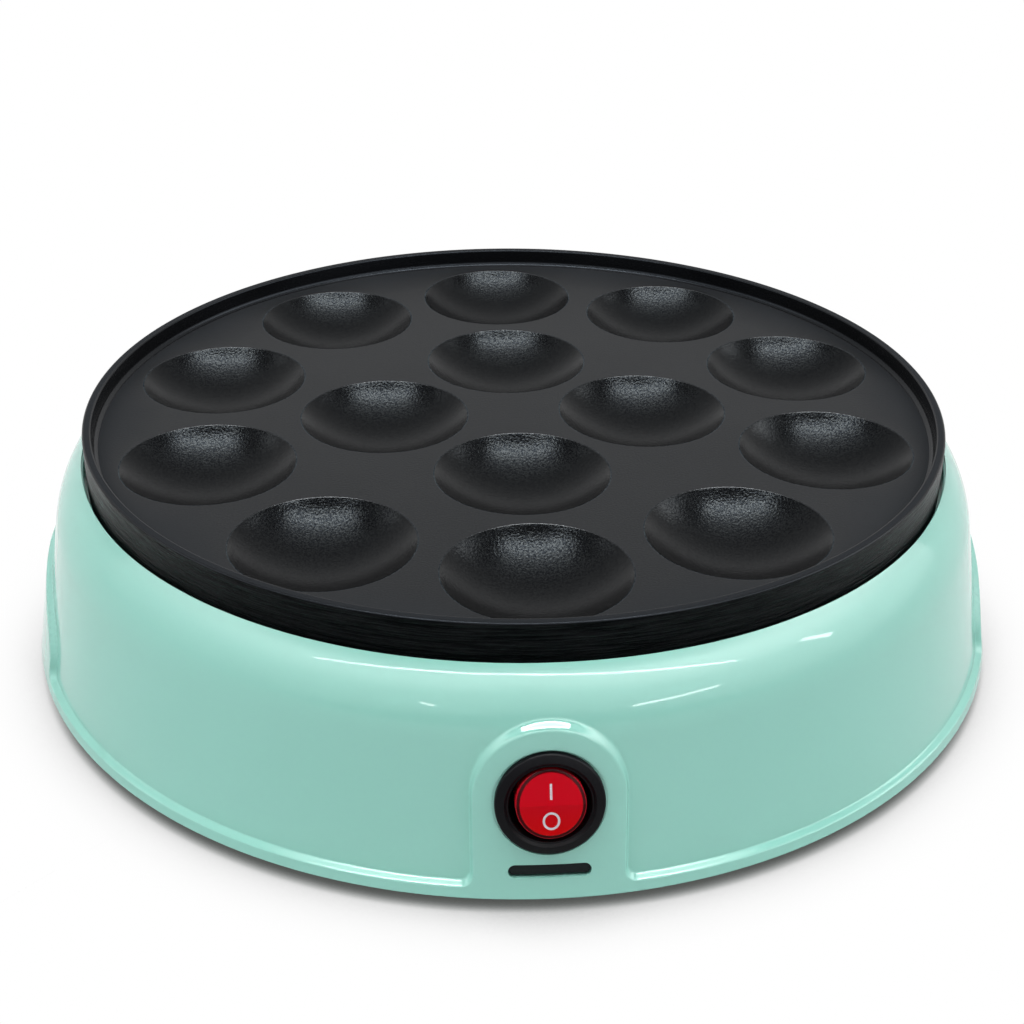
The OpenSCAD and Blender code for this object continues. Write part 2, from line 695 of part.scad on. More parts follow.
module terminal_screws() {
    color("silver") at_ports() for (y = clamp_y) translate([0, y, port_d / 2 + slack]) difference() {
        cylinder(h = clamp_h, d = clamp_d);
        translate([-clamp_d, -screwdriver_slot / 2, clamp_h - screwdriver_slot])
            cube([2 * clamp_d, screwdriver_slot, clamp_d]);
    }
}
module block_screw() {
    color("silver") translate([0, block_y, seat_z - cover_t])
        screw(tap_d - slack, cover_t + short_l, m3_head_d);
}
module earth_lug() {
    color("gainsboro") translate([earth_at[0], earth_at[1], pan_z - sheet_t]) difference() {
        union() {
            cylinder(h = sheet_t, d = 8);
            translate([0, -2.2, 0]) cube([lug_l, 4.4, sheet_t]);
        }
        translate([0, 0, -1]) cylinder(h = 3, d = m3_d + 2 * fit);
    }
}
module earth_screw() {
    color("silver") translate([earth_at[0], earth_at[1], pan_z - sheet_t])
        screw(m3_d - slack, short_l, m3_head_d);
}

// Moulded gland for the mains lead, snapped into the back wall
module cord_gland() {
    neck = gland_hole_d / 2 - running;
    grip = wall_t + 0.5;
    color("#202224") at_gland() rotate_extrude() polygon([
        [gland_bore / 2, 2], [gland_bore / 2, -grip - 4], [neck - 0.6, -grip - 4], [neck + 1, -grip - 1.5],
        [neck + 1, -grip], [neck, -grip], [neck, 0], [gland_seat_d / 2 - 0.5, 0],
        [gland_seat_d / 2 - 0.5, 1.2], [gland_seat_d / 2 - 1.3, 2]]);
}

// Rocker switch: bezel and barrel in one, with a deep pocket
module switch_body() {
    low = -barrel_len;
    flange_r = bezel_d / 2;
    color("#17181b") at_switch() difference() {
        union() {
            rotate_extrude() polygon([
                [0, low], [barrel_d / 2, low], [barrel_d / 2, 0], [flange_r, 0], [flange_r, bezel_t - 0.7],
                [flange_r - 0.7, bezel_t], [opening_d / 2, bezel_t], [opening_d / 2, bezel_t - 0.8],
                [pocket_r, bezel_t - 1.6], [pocket_r, pocket_z], [0, pocket_z]]);
            for (s = [-1, 1]) translate([s * barrel_d / 2 - 0.8, -2, -8]) cube([1.6, 4, 3.4]);
            for (y = [-3, 3]) translate([3.9, y - 0.6, pocket_z - eps]) cube([2.6, 1.2, 4.2]);
        }
        translate([0, 0, axis_z]) rotate([0, 90, 0])
            cylinder(h = barrel_d - 0.8, d = pin_d + 2 * running, center = true);
        for (y = tab_y) translate([-tab_w / 2 - running, y - tab_t / 2 - running, low - 1])
            cube([tab_w + 2 * running, tab_t + 2 * running, 4]);
    }
}
module rocker_block() {
    reach = rocker_d;
    drop = reach * tan(rocker_roof);
    intersection() {
        translate([0, 0, skirt_low]) cylinder(h = 12, d = rocker_d);
        rotate([90, 0, 90]) linear_extrude(2 * reach, center = true) polygon([
            [-reach, skirt_low], [reach, skirt_low], [reach, crease_z - drop], [0, crease_z],
            [-reach, crease_z - drop]]);
    }
}
module switch_rocker() {
    color("#c01018") at_rocker() difference() {
        union() {
            difference() {
                rocker_block();
                translate([0, 0, skirt_low - 1]) cylinder(h = lens_z - skirt_low + 1, d = rocker_d - 2.5);
            }
            translate([0, 0, stem_z]) cylinder(h = lens_z - stem_z + 0.5, d = stem_d);
            for (s = [-1, 1]) translate([s * (rocker_d / 2 + 0.3), 0, 0]) rotate([0, 90, 0])
                cylinder(h = 2.8, d = pin_d, center = true);
        }
        translate([0, 0, stem_z - 1]) cylinder(h = spring_top - stem_z + 1.1, d = plunger_d + 2 * running);
    }
}
module contact_plunger() {
    color("white") at_rocker() {
        translate([0, 0, tip_z]) cylinder(h = plunger_top - tip_z, d = plunger_d);
        translate([0, 0, tip_z]) sphere(d = plunger_d);
    }
}
module contact_spring() {
    coils = 5;
    wire = 0.35;
    coil_r = plunger_d / 2 - wire / 2 - 0.1;
    rise = spring_top - plunger_top - wire - 0.2;
    color("lightsteelblue") at_rocker() translate([0, 0, plunger_top + wire / 2 + 0.1])
        sweep([for (i = [0:coils * 8]) polar(coil_r, i * 45, rise * i / (coils * 8))], wire, 6);
}
// See-saw contact blade with shallow arms, and the three fixed tabs
module contact_blade() {
    lift = blade_half * tan(blade_v);
    color("#b87333") at_switch() translate([0, 0, blade_z]) rotate([blade_tilt, 0, 0])
        rotate([90, 0, 90]) linear_extrude(4, center = true) polygon([
            [0, 0], [blade_half, lift], [blade_half, lift + blade_t],
            [0, blade_t], [-blade_half, lift + blade_t], [-blade_half, lift]]);
}
module switch_tab(y, top) {
    low = -barrel_len - tab_len;
    translate([-tab_w / 2, y - tab_t / 2, low]) cube([tab_w, tab_t, top - low]);
}
module live_tab() {
    color("goldenrod") at_switch() switch_tab(tab_y[1], blade_z - seat_gap);
}
module load_tab() {
    contact_l = 2.4;
    contact_z = blade_z - seat_gap;
    color("goldenrod") at_switch() {
        switch_tab(tab_y[0], contact_z);
        translate([-1.5, tab_y[0], contact_z - 1]) cube([3, contact_l, 1]);
    }
}
module lamp_tab() {
    color("goldenrod") at_switch() switch_tab(tab_y[2], pocket_z + 1);
}
module switch_lamp() {
    lamp_x = 5.2;
    lamp_z = -8.7;
    lamp_l = 9;
    lead_y = 4;
    color("orange") at_switch() {
        translate([lamp_x, -lamp_l / 2, lamp_z]) rotate([-90, 0, 0]) cylinder(h = lamp_l, d = 3);
        for (y = [-lead_y, lead_y]) translate([lamp_x, y, pocket_z]) cylinder(h = lamp_z - pocket_z, d = 0.6);
    }
}

// Insulated wires between the block, the switch, the thermostat and the heater
module wire(route, tint) {
    color(tint) sweep(spline(route), wire_d, 8);
}
module live_wire() {
    wire(concat(from_port(0), live_route, to_tab(1)), "saddlebrown");
}
module switched_wire() {
    wire(concat(back(to_tab(0)), switched_route, to_stat(-1)), "black");
}
module fuse_wire() {
    wire(concat(back(to_stat(1)), fuse_route,
        [for (run = [5, 3, 0.1]) [fuse_x, sleeve_y[0] - run, fuse_z]]), "black");
}
module element_wire() {
    wire(concat([for (run = [0.1, 3, 5]) [fuse_x, sleeve_y[1] + run, fuse_z]],
        element_route, to_leg(1)), "black");
}
module neutral_wire() {
    wire(concat(from_port(2), neutral_route, to_leg(-1)), "steelblue");
}
module lamp_wire() {
    wire(concat(from_port(3), lamp_route, to_tab(2)), "steelblue");
}
module earth_wire() {
    lug_end = [earth_at[0] + lug_l, earth_at[1], pan_z - wire_d / 2 - 0.5];
    wire(concat(from_port(1), earth_route, [for (run = [5, 3, 0.1]) lug_end + [run, 0, 0]]), "yellowgreen");
}

housing();
base_cover();
for (i = [0:3]) foot(i);
cover_screws();
baking_plate();
heating_element();
element_insulators();
element_tabs();
element_clips();
clip_screws();
reflector_pan();
plate_washers();
plate_screws();
thermostat_cap();
thermostat_body();
thermostat_tabs();
thermostat_bracket();
bracket_screws();
thermal_fuse();
fuse_sleeve();
fuse_clip();
fuse_clip_screw();
terminal_block();
terminal_sleeves();
terminal_screws();
block_screw();
earth_lug();
earth_screw();
cord_gland();
switch_body();
switch_rocker();
contact_plunger();
contact_spring();
contact_blade();
live_tab();
load_tab();
lamp_tab();
switch_lamp();
live_wire();
switched_wire();
fuse_wire();
element_wire();
neutral_wire();
lamp_wire();
earth_wire();
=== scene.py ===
import math

import bmesh
import bpy
import numpy as np
from mathutils import Matrix, Vector


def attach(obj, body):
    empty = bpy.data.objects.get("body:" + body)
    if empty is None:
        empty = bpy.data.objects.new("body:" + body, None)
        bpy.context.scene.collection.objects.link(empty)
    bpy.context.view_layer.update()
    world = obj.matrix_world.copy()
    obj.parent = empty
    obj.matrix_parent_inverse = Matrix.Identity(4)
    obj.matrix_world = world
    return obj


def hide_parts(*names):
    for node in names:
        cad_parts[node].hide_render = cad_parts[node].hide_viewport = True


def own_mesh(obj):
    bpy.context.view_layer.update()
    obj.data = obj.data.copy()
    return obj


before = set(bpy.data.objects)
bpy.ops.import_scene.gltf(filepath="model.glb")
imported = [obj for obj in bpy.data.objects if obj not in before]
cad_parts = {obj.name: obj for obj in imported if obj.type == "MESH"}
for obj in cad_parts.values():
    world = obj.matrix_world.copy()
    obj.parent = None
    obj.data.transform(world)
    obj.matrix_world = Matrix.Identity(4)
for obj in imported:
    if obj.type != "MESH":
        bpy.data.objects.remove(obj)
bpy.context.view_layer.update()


# Housing: one injection moulding in glossy mint plastic, open above for the plate and below for the
# cover. A lip round its foot, a switch pad and two grip pads stand one step proud of the leaning wall,
# which turns over in a rounded shoulder. Sizes are in millimetres and meshes in metres.
MM = 0.001
PLATE_R = 108.0
BASE_Z, LAND_Z = 3.0, 51.4
SHELF_Z, SEAT_Z = LAND_Z - 6.0, BASE_Z + 3.0
LIP_R, OPENING_R, SHELF_R = PLATE_R + 16.5, PLATE_R + 0.6, PLATE_R - 13.0
LEAN = math.radians(10.2)
STEP, WALL_T, SHELF_T, LAND_W = 1.5, 2.4, 2.6, 1.3
SHOULDER_R, CREST_ROUND, OPENING_ROUND, FOOT_ROUND, REBATE_W = 27.0, 0.7, 0.3, 0.5, 1.0
LEDGE_Z, LEDGE_SOFT = BASE_Z + 3.1, 0.5
PAD_R, PAD_RISE, PAD_SOFT = 16.15, 1.2, 0.4
GRIP_HALF, GRIP_FOOT, GRIP_RISE = 40.0, BASE_Z + 7.0, 15.5
CORNER_FILLET = 2.6
SWITCH_Z, SWITCH_SEAT_D, SWITCH_HOLE_D, SWITCH_SINK = 25.2, 24.0, 20.0, 0.05
SLOT_W, SLOT_H, SLOT_Y = 17.5, 3.1, -15.8
GLAND_Z, GLAND_SEAT_D, GLAND_HOLE_D, GLAND_SINK = BASE_Z + 15.0, 16.0, 11.0, 0.25
HOLE_SIDES, CUT_PROUD, COLUMN_DEG = 96, 5, 1.6
MINT_LOW, MINT_HIGH = (0.252, 0.550, 0.474), (0.264, 0.568, 0.492)


def put(tree, kind, inputs=(), **settings):
    """Adds a node to a tree; an input is a plain value or the socket that feeds it."""
    made = tree.nodes.new(kind)
    for name, value in settings.items():
        setattr(made, name, value)
    for socket, value in dict(inputs).items():
        if isinstance(value, bpy.types.NodeSocket):
            tree.links.new(value, made.inputs[socket])
        else:
            made.inputs[socket].default_value = value
    return made


def finish(name):
    """A new material with its tree, its shader and the piece's own coordinates."""
    material = bpy.data.materials.new(name)
    material.use_nodes = True
    tree = material.node_tree
    coords = put(tree, "ShaderNodeTexCoord").outputs["Object"]
    return material, tree, tree.nodes["Principled BSDF"], coords


def noise(tree, coords, scale, detail):
    """A noise value of 0 to 1 with so many cells a metre."""
    given = {"Vector": coords, "Scale": scale, "Detail": detail}
    return put(tree, "ShaderNodeTexNoise", given).outputs["Fac"]


def ramp(tree, factor, stops):
    """A colour ramp from (place, colour) stops."""
    made = put(tree, "ShaderNodeValToRGB", {"Fac": factor})
    elements = made.color_ramp.elements
    while len(elements) < len(stops):
        elements.new(0.5)
    for element, (place, colour) in zip(elements, stops):
        element.position = place
        element.color = (*colour, 1)
    return made.outputs["Color"]


def spread(tree, factor, low, high):
    """Turns a value of 0 to 1 into a number between low and high."""
    given = {"Value": factor, "To Min": low, "To Max": high}
    return put(tree, "ShaderNodeMapRange", given).outputs["Result"]


def bump(tree, height, strength, distance):
    """The normal of a surface that rises and falls with a height."""
    given = {"Height": height, "Strength": strength, "Distance": distance}
    return put(tree, "ShaderNodeBump", given).outputs["Normal"]


def arc(centre, radius, start, end, count):
    """Points on an arc in a (radius, height) section, angles in degrees."""
    turn = np.radians(np.linspace(start, end, count))
    return [(centre[0] + radius * math.cos(t), centre[1] + radius * math.sin(t)) for t in turn]


def closed_sheet(rows, wrap_rows):
    """Quads between rows of points that each run right round."""
    count, width = rows.shape[:2]
    faces = []
    for i in range(count if wrap_rows else count - 1):
        for k in range(width):
            a, b = i * width, (i + 1) % count * width
            faces.append((a + k, a + (k + 1) % width, b + (k + 1) % width, b + k))
    return rows.reshape(-1, 3), faces


def turned(section, segments):
    """A (radius, height) section turned about Z, as points in metres and faces."""
    turn = np.linspace(0, 2 * np.pi, segments, endpoint=False)
    rows = np.array([[(r * math.cos(t), r * math.sin(t), z) for t in turn] for r, z in section]) * MM
    return closed_sheet(rows, False)


def new_object(name, points, faces, place=Matrix()):
    """A mesh object at the origin, with doubles merged, faces outwards and its place in the mesh."""
    mesh = bpy.data.meshes.new(name)
    mesh.from_pydata([tuple(p) for p in points], [], faces)
    mesh.transform(place)
    work = bmesh.new()
    work.from_mesh(mesh)
    bmesh.ops.remove_doubles(work, verts=work.verts, dist=1e-7)
    bmesh.ops.dissolve_degenerate(work, edges=work.edges, dist=1e-7)
    bmesh.ops.recalc_face_normals(work, faces=work.faces)
    work.to_mesh(mesh)
    work.free()
    made = bpy.data.objects.new(name, mesh)
    bpy.context.scene.collection.objects.link(made)
    return made


def settle(piece, material, body, slot, *replaced, crease=35):
    """Gives a finished mesh its shading, material, body and the CAD nodes it stands for; the slot is not
    used.
    """
    piece.data.materials.clear()
    piece.data.materials.append(material)
    piece.data.shade_smooth()
    piece.data.set_sharp_from_angle(angle=math.radians(crease))
    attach(piece, body)
    if replaced:
        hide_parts(*replaced)


def cut(piece, *cutters):
    """Cuts the shapes out of a piece and removes them."""
    for cutter in cutters:
        modifier = piece.modifiers.new("cut", "BOOLEAN")
        modifier.operation, modifier.solver, modifier.object = "DIFFERENCE", "EXACT", cutter
    bake(piece)
    for cutter in cutters:
        bpy.data.objects.remove(cutter)


def bake(piece):
    """Replaces an object's mesh by what its modifiers make of it."""
    evaluated = piece.evaluated_get(bpy.context.evaluated_depsgraph_get())
    mesh = bpy.data.meshes.new_from_object(evaluated)
    piece.modifiers.clear()
    piece.data = mesh


def cone_r(z):
    """Radius of the lip's cone, which the pads share."""
    return LIP_R - (z - BASE_Z) * math.tan(LEAN)


def wall_r(z):
    return cone_r(z) - STEP


def shoulder_centre():
    """Centre of the shoulder's arc, which touches the wall and ends at the outer edge of the land."""
    out, up = np.array([math.cos(LEAN), math.sin(LEAN)]), np.array([-math.sin(LEAN), math.cos(LEAN)])
    crest = np.array([OPENING_R + LAND_W, LAND_Z])
    depth = SHOULDER_R - (wall_r(LAND_Z) - crest[0]) * math.cos(LEAN)
    return crest - depth * out - math.sqrt(SHOULDER_R ** 2 - depth ** 2) * up


def switch_seat_r():
    """Radius of the flat seat for the bezel, sunk just far enough into the pad's cone."""
    reach = cone_r(SWITCH_Z)
    sink = reach - math.sqrt(reach ** 2 - (SWITCH_SEAT_D / 2) ** 2) + SWITCH_SINK
    return reach - sink / math.cos(LEAN)


def seat_frame(y, z, turn):
    """Frame of a seat on the wall, at a place in millimetres and turned about X."""
    return Matrix.Translation((0, y * MM, z * MM)) @ Matrix.Rotation(turn, 4, "X")


SHOULDER_AT = shoulder_centre()
SWITCH_SEAT_R, GLAND_SEAT_R = switch_seat_r(), wall_r(GLAND_Z) - GLAND_SINK
SWITCH_FRAME = seat_frame(-SWITCH_SEAT_R, SWITCH_Z, math.pi / 2 - LEAN)
GLAND_FRAME = seat_frame(GLAND_SEAT_R, GLAND_Z, LEAN - math.pi / 2)


def ease(t):
    """A smooth rise from 0 to 1."""
    t = np.clip(t, 0, 1)
    return t * t * (3 - 2 * t)


def joined(a, b, fillet):
    """Distance to the union of two outlines, with a rounded inner corner."""
    inside = np.hypot(np.maximum(fillet - a, 0), np.maximum(fillet - b, 0))
    return np.maximum(fillet, np.minimum(a, b)) - inside


def step_share(x, y, z):
    """Share of the step at a place on the wall: 1 on the lip and the pads, 0 on the wall."""
    far = 99.0
    up = math.sin(LEAN) * (y + SWITCH_SEAT_R) + math.cos(LEAN) * (z - SWITCH_Z) - PAD_RISE
    reach = np.hypot(x, np.maximum(up, 0))
    top = ease(np.maximum(up, 0) / np.maximum(reach, 1e-6))
    switch_pad = np.where(y < 0, reach - PAD_R, far)
    soft = np.where(switch_pad < 2 * CORNER_FILLET, LEDGE_SOFT + PAD_SOFT * top, LEDGE_SOFT)
    along, rise = y / GRIP_HALF, np.maximum(z - GRIP_FOOT, 0) / GRIP_RISE
    grip = np.maximum(np.hypot(along, rise), 1e-6)
    slope = np.maximum(np.hypot(along / GRIP_HALF, rise / GRIP_RISE) / grip, 1e-6)
    grip_pad = np.where(np.abs(x) > LIP_R / 2, (grip - 1) / slope, far)
    away = joined(joined(z - LEDGE_Z, switch_pad, CORNER_FILLET), grip_pad, CORNER_FILLET)
    return 1 - ease((away + soft) / (2 * soft))


def steps(*runs):
    """Values in runs of (start, end, step)."""
    return np.concatenate([np.arange(*run) for run in runs])


def column_angles():
    """Angles round the housing, close together where a pad has an edge."""
    switch = steps((0, 6, 0.8), (6, 15, 0.4), (15, 17.5, 0.16), (17.5, 20, 0.4))
    grip = steps((0, GRIP_HALF - 9, 1.5), (GRIP_HALF - 9, GRIP_HALF + 4, 0.4))
    stops = []
    for middle, offsets in ((-90, switch), (0, grip), (180, grip)):
        turn = np.degrees(np.arcsin(offsets / wall_r(SWITCH_Z)))
        stops += [middle + t for t in turn] + [middle - t for t in turn[1:]]
    stops = sorted(a % 360 for a in stops)
    angles = []
    for a, b in zip(stops, stops[1:] + [stops[0] + 360]):
        angles += list(np.linspace(a, b, max(1, math.ceil((b - a) / COLUMN_DEG)), endpoint=False))
    return np.radians(angles)


def housing_skin():
    """Outside, land, shelf and inner face of the moulding, as one closed sheet."""
    crest_z = LAND_Z - CREST_ROUND
    crest_h = crest_z - SHOULDER_AT[1]
    crest_r = SHOULDER_AT[0] + math.sqrt((SHOULDER_R - CREST_ROUND) ** 2 - crest_h ** 2)
    crest_turn = math.degrees(math.atan2(crest_h, crest_r - SHOULDER_AT[0]))
    inner_r = SHOULDER_R - WALL_T
    inner_turn = math.degrees(math.acos((OPENING_R + WALL_T - SHOULDER_AT[0]) / inner_r))
    rebate_r = wall_r(SEAT_Z) - REBATE_W
    lean = math.degrees(LEAN)
    wall_top = SHOULDER_AT[1] + SHOULDER_R * math.sin(LEAN)
    grip_top = GRIP_FOOT + GRIP_RISE
    heights = np.concatenate([
        np.linspace(BASE_Z + 0.7, LEDGE_Z - 0.7, 4),
        steps((LEDGE_Z - 0.6, LEDGE_Z + 0.7, 0.11), (LEDGE_Z + 0.8, LEDGE_Z + 4, 0.4),
              (LEDGE_Z + 4, grip_top - 5.5, 1.1), (grip_top - 5.5, wall_top - 0.1, 0.35))])
    wall = [(wall_r(z), z) for z in heights]
    shoulder = (arc(SHOULDER_AT, SHOULDER_R, lean, 44, 56)
                + arc(SHOULDER_AT, SHOULDER_R, 45.5, crest_turn - 1.0, 10))
    foot = [(rebate_r, BASE_Z), (LIP_R - 0.9, BASE_Z)]
    foot += arc((LIP_R - 0.55, BASE_Z + FOOT_ROUND), FOOT_ROUND, -90, -5, 6)
    inside = (arc((crest_r, crest_z), CREST_ROUND, crest_turn, 90, 9)
              + arc((OPENING_R + OPENING_ROUND, LAND_Z - OPENING_ROUND), OPENING_ROUND, 90, 180, 5)
              + [(OPENING_R, SHELF_Z), (SHELF_R, SHELF_Z), (SHELF_R, SHELF_Z - SHELF_T),
                 (OPENING_R + WALL_T, SHELF_Z - SHELF_T)]
              + arc(SHOULDER_AT, inner_r, inner_turn, lean, 10)
              + [(wall_r(SEAT_Z) - WALL_T / math.cos(LEAN), SEAT_Z), (rebate_r, SEAT_Z)])
    section = np.array(foot + wall + shoulder + inside)
    first, last = len(foot), len(foot) + len(wall) + len(shoulder)
    angles = column_angles()
    z = np.repeat(section[:, 1:], len(angles), 1)
    r = np.repeat(section[:, :1], len(angles), 1)
    x, y = r * np.cos(angles), r * np.sin(angles)
    share = step_share(x, y, z)
    share[:first], share[last:] = 0, 0
    r = r + share * (cone_r(z) - r)
    return closed_sheet(np.stack([r * np.cos(angles), r * np.sin(angles), z], 2) * MM, True)


def bar(name, outline, low, high, place):
    """A straight bar of that outline between two levels, closed at its ends."""
    rows = np.array([[(u, v, h) for u, v in outline] for h in (low, high)]) * MM
    points, faces = closed_sheet(rows, False)
    count = len(outline)
    return new_object(name, points, faces + [tuple(range(count)), tuple(range(count, 2 * count))], place)


def stepped_hole(depth, hole_d, seat_d):
    """Section of a round hole with a wider seat in front of it."""
    return [(0, -depth), (hole_d / 2, -depth), (hole_d / 2, 0), (seat_d / 2, 0),
            (seat_d / 2, CUT_PROUD), (0, CUT_PROUD)]


def mint_plastic():
    material, tree, shader, coords = finish("mint_gloss_plastic")
    tint = ramp(tree, noise(tree, coords, 14, 3), [(0.3, MINT_LOW), (0.7, MINT_HIGH)])
    tree.links.new(tint, shader.inputs["Base Color"])
    tree.links.new(spread(tree, noise(tree, coords, 60, 4), 0.03, 0.08), shader.inputs["Roughness"])
    tree.links.new(bump(tree, noise(tree, coords, 90, 1), 0.03, 0.001), shader.inputs["Normal"])
    return material


housing = new_object("housing_shell", *housing_skin())
switch_hole = stepped_hole(12, SWITCH_HOLE_D, SWITCH_SEAT_D)
gland_hole = stepped_hole(8, GLAND_HOLE_D, GLAND_SEAT_D)
slot_end = (SLOT_W - SLOT_H) / 2
slot_outline = (arc((slot_end, SLOT_Y), SLOT_H / 2, -90, 90, 17)
                + arc((-slot_end, SLOT_Y), SLOT_H / 2, 90, 270, 17))
cut(housing, new_object("switch_cutter", *turned(switch_hole, HOLE_SIDES), SWITCH_FRAME),
    bar("slot_cutter", slot_outline, -8, 4, SWITCH_FRAME),
    new_object("gland_cutter", *turned(gland_hole, HOLE_SIDES), GLAND_FRAME))
settle(housing, mint_plastic(), "base", "mint_plastic", "housing", crease=40)


# Baking plate: one aluminium casting with a dark non-stick coat, screwed to the housing's shelf from
# below. A turned rim stands round the floor, and the bowls are all one shape in two rings, so a bowl
# is drawn once and a node tree sets it round the plate and closes the floor between the bowls.
RIM_Z = LAND_Z + 9.6
FLOOR_Z = RIM_Z - 4.7
UNDER_Z, SKIRT_Z = FLOOR_Z - 3.6, SHELF_Z + 3.0
RIM_T, FLOOR_FILLET, SKIRT_R = 2.2, 1.2, PLATE_R - 4.0
FLOOR_R = PLATE_R - RIM_T - FLOOR_FILLET
RIM_SIDES, RIM_IN_ROUND, RIM_OUT_ROUND = 256, 0.4, 0.45
BOWL_D, BOWL_DEPTH, BOWL_T, BOWL_EDGE = 42.6, 9.0, 3.4, 0.5
BOWL_R = ((BOWL_D / 2) ** 2 + BOWL_DEPTH ** 2) / (2 * BOWL_DEPTH)
BOWL_Z = FLOOR_Z - BOWL_DEPTH + BOWL_R
BOWL_SIDES = 72
OUTER_RING_R, OUTER_BOWLS, INNER_RING_R, INNER_BOWLS = 79.6, 10, 33.1, 4
GRAIN_CELLS, FLECK_CELLS, CLOUD_CELLS = 1900, 2400, 45
SCORE_TURNS, SCORE_ROWS = 9, 1100


def bowl_shape():
    """One bowl at the origin: rounded edge, cup and the dome below it."""
    edge_r = math.sqrt((BOWL_R + BOWL_EDGE) ** 2 - (BOWL_Z - FLOOR_Z + BOWL_EDGE) ** 2)
    lean_in = math.degrees(math.atan2(BOWL_Z - FLOOR_Z + BOWL_EDGE, -edge_r))
    dome_r = math.sqrt((BOWL_R + BOWL_T) ** 2 - (BOWL_Z - UNDER_Z) ** 2)
    dome_turn = math.degrees(math.atan2(UNDER_Z - BOWL_Z, dome_r))
    cup = arc((edge_r, FLOOR_Z - BOWL_EDGE), BOWL_EDGE, 90, lean_in, 5)
    cup += arc((0, BOWL_Z), BOWL_R, lean_in - 180, -90, 20)[1:]
    dome = arc((0, BOWL_Z), BOWL_R + BOWL_T, dome_turn, -90, 10)
    return turned(cup, BOWL_SIDES), turned(dome, BOWL_SIDES), edge_r, dome_r


def rim_shape():
    """Floor fillet, rim wall and skirt, as one open sheet."""
    inner = PLATE_R - RIM_T
    section = (arc((inner - FLOOR_FILLET, FLOOR_Z + FLOOR_FILLET), FLOOR_FILLET, -90, 0, 7)
               + arc((inner + RIM_IN_ROUND, RIM_Z - RIM_IN_ROUND), RIM_IN_ROUND, 180, 90, 5)
               + arc((PLATE_R - RIM_OUT_ROUND, RIM_Z - RIM_OUT_ROUND), RIM_OUT_ROUND, 90, 0, 6)
               + [(PLATE_R, z) for z in np.linspace(RIM_Z - 1.2, SKIRT_Z + 0.3, 10)]
               + [(PLATE_R - 0.3, SKIRT_Z), (SKIRT_R, SKIRT_Z), (SKIRT_R, UNDER_Z)])
    return turned(section, RIM_SIDES)


def blank():
    """The turned rim and one bowl in one mesh; bowl tells them apart, and worn marks the bowl's edge."""
    cup, dome, edge_r, dome_r = bowl_shape()
    points, faces, share, worn = [], [], [], []
    kinds = ((rim_shape(), 0, False), (cup, 1, True), (dome, 1, False))
    for (some_points, some_faces), value, flip in kinds:
        faces += [tuple(i + len(points) for i in (reversed(f) if flip else f)) for f in some_faces]
        points += [tuple(p) for p in some_points]
        share += [value] * len(some_points)
        worn += [float(flip and BOWL_SIDES <= i < 4 * BOWL_SIDES) for i in range(len(some_points))]
    mesh = bpy.data.meshes.new("baking_plate_casting")
    mesh.from_pydata(points, [], faces)
    mesh.attributes.new("bowl", "FLOAT", "POINT").data.foreach_set("value", share)
    mesh.attributes.new("worn", "FLOAT", "POINT").data.foreach_set("value", worn)
    made = bpy.data.objects.new("baking_plate_casting", mesh)
    bpy.context.scene.collection.objects.link(made)
    return made, edge_r, dome_r


def inputs_of(tree, kinds):
    """Adds a tree's named inputs and its one output, and returns the input sockets."""
    for name, kind in kinds.items():
        tree.interface.new_socket(name=name, in_out="INPUT", socket_type="NodeSocket" + kind)
    tree.interface.new_socket(name="Made", in_out="OUTPUT", socket_type="NodeSocketGeometry")
    return put(tree, "NodeGroupInput").outputs


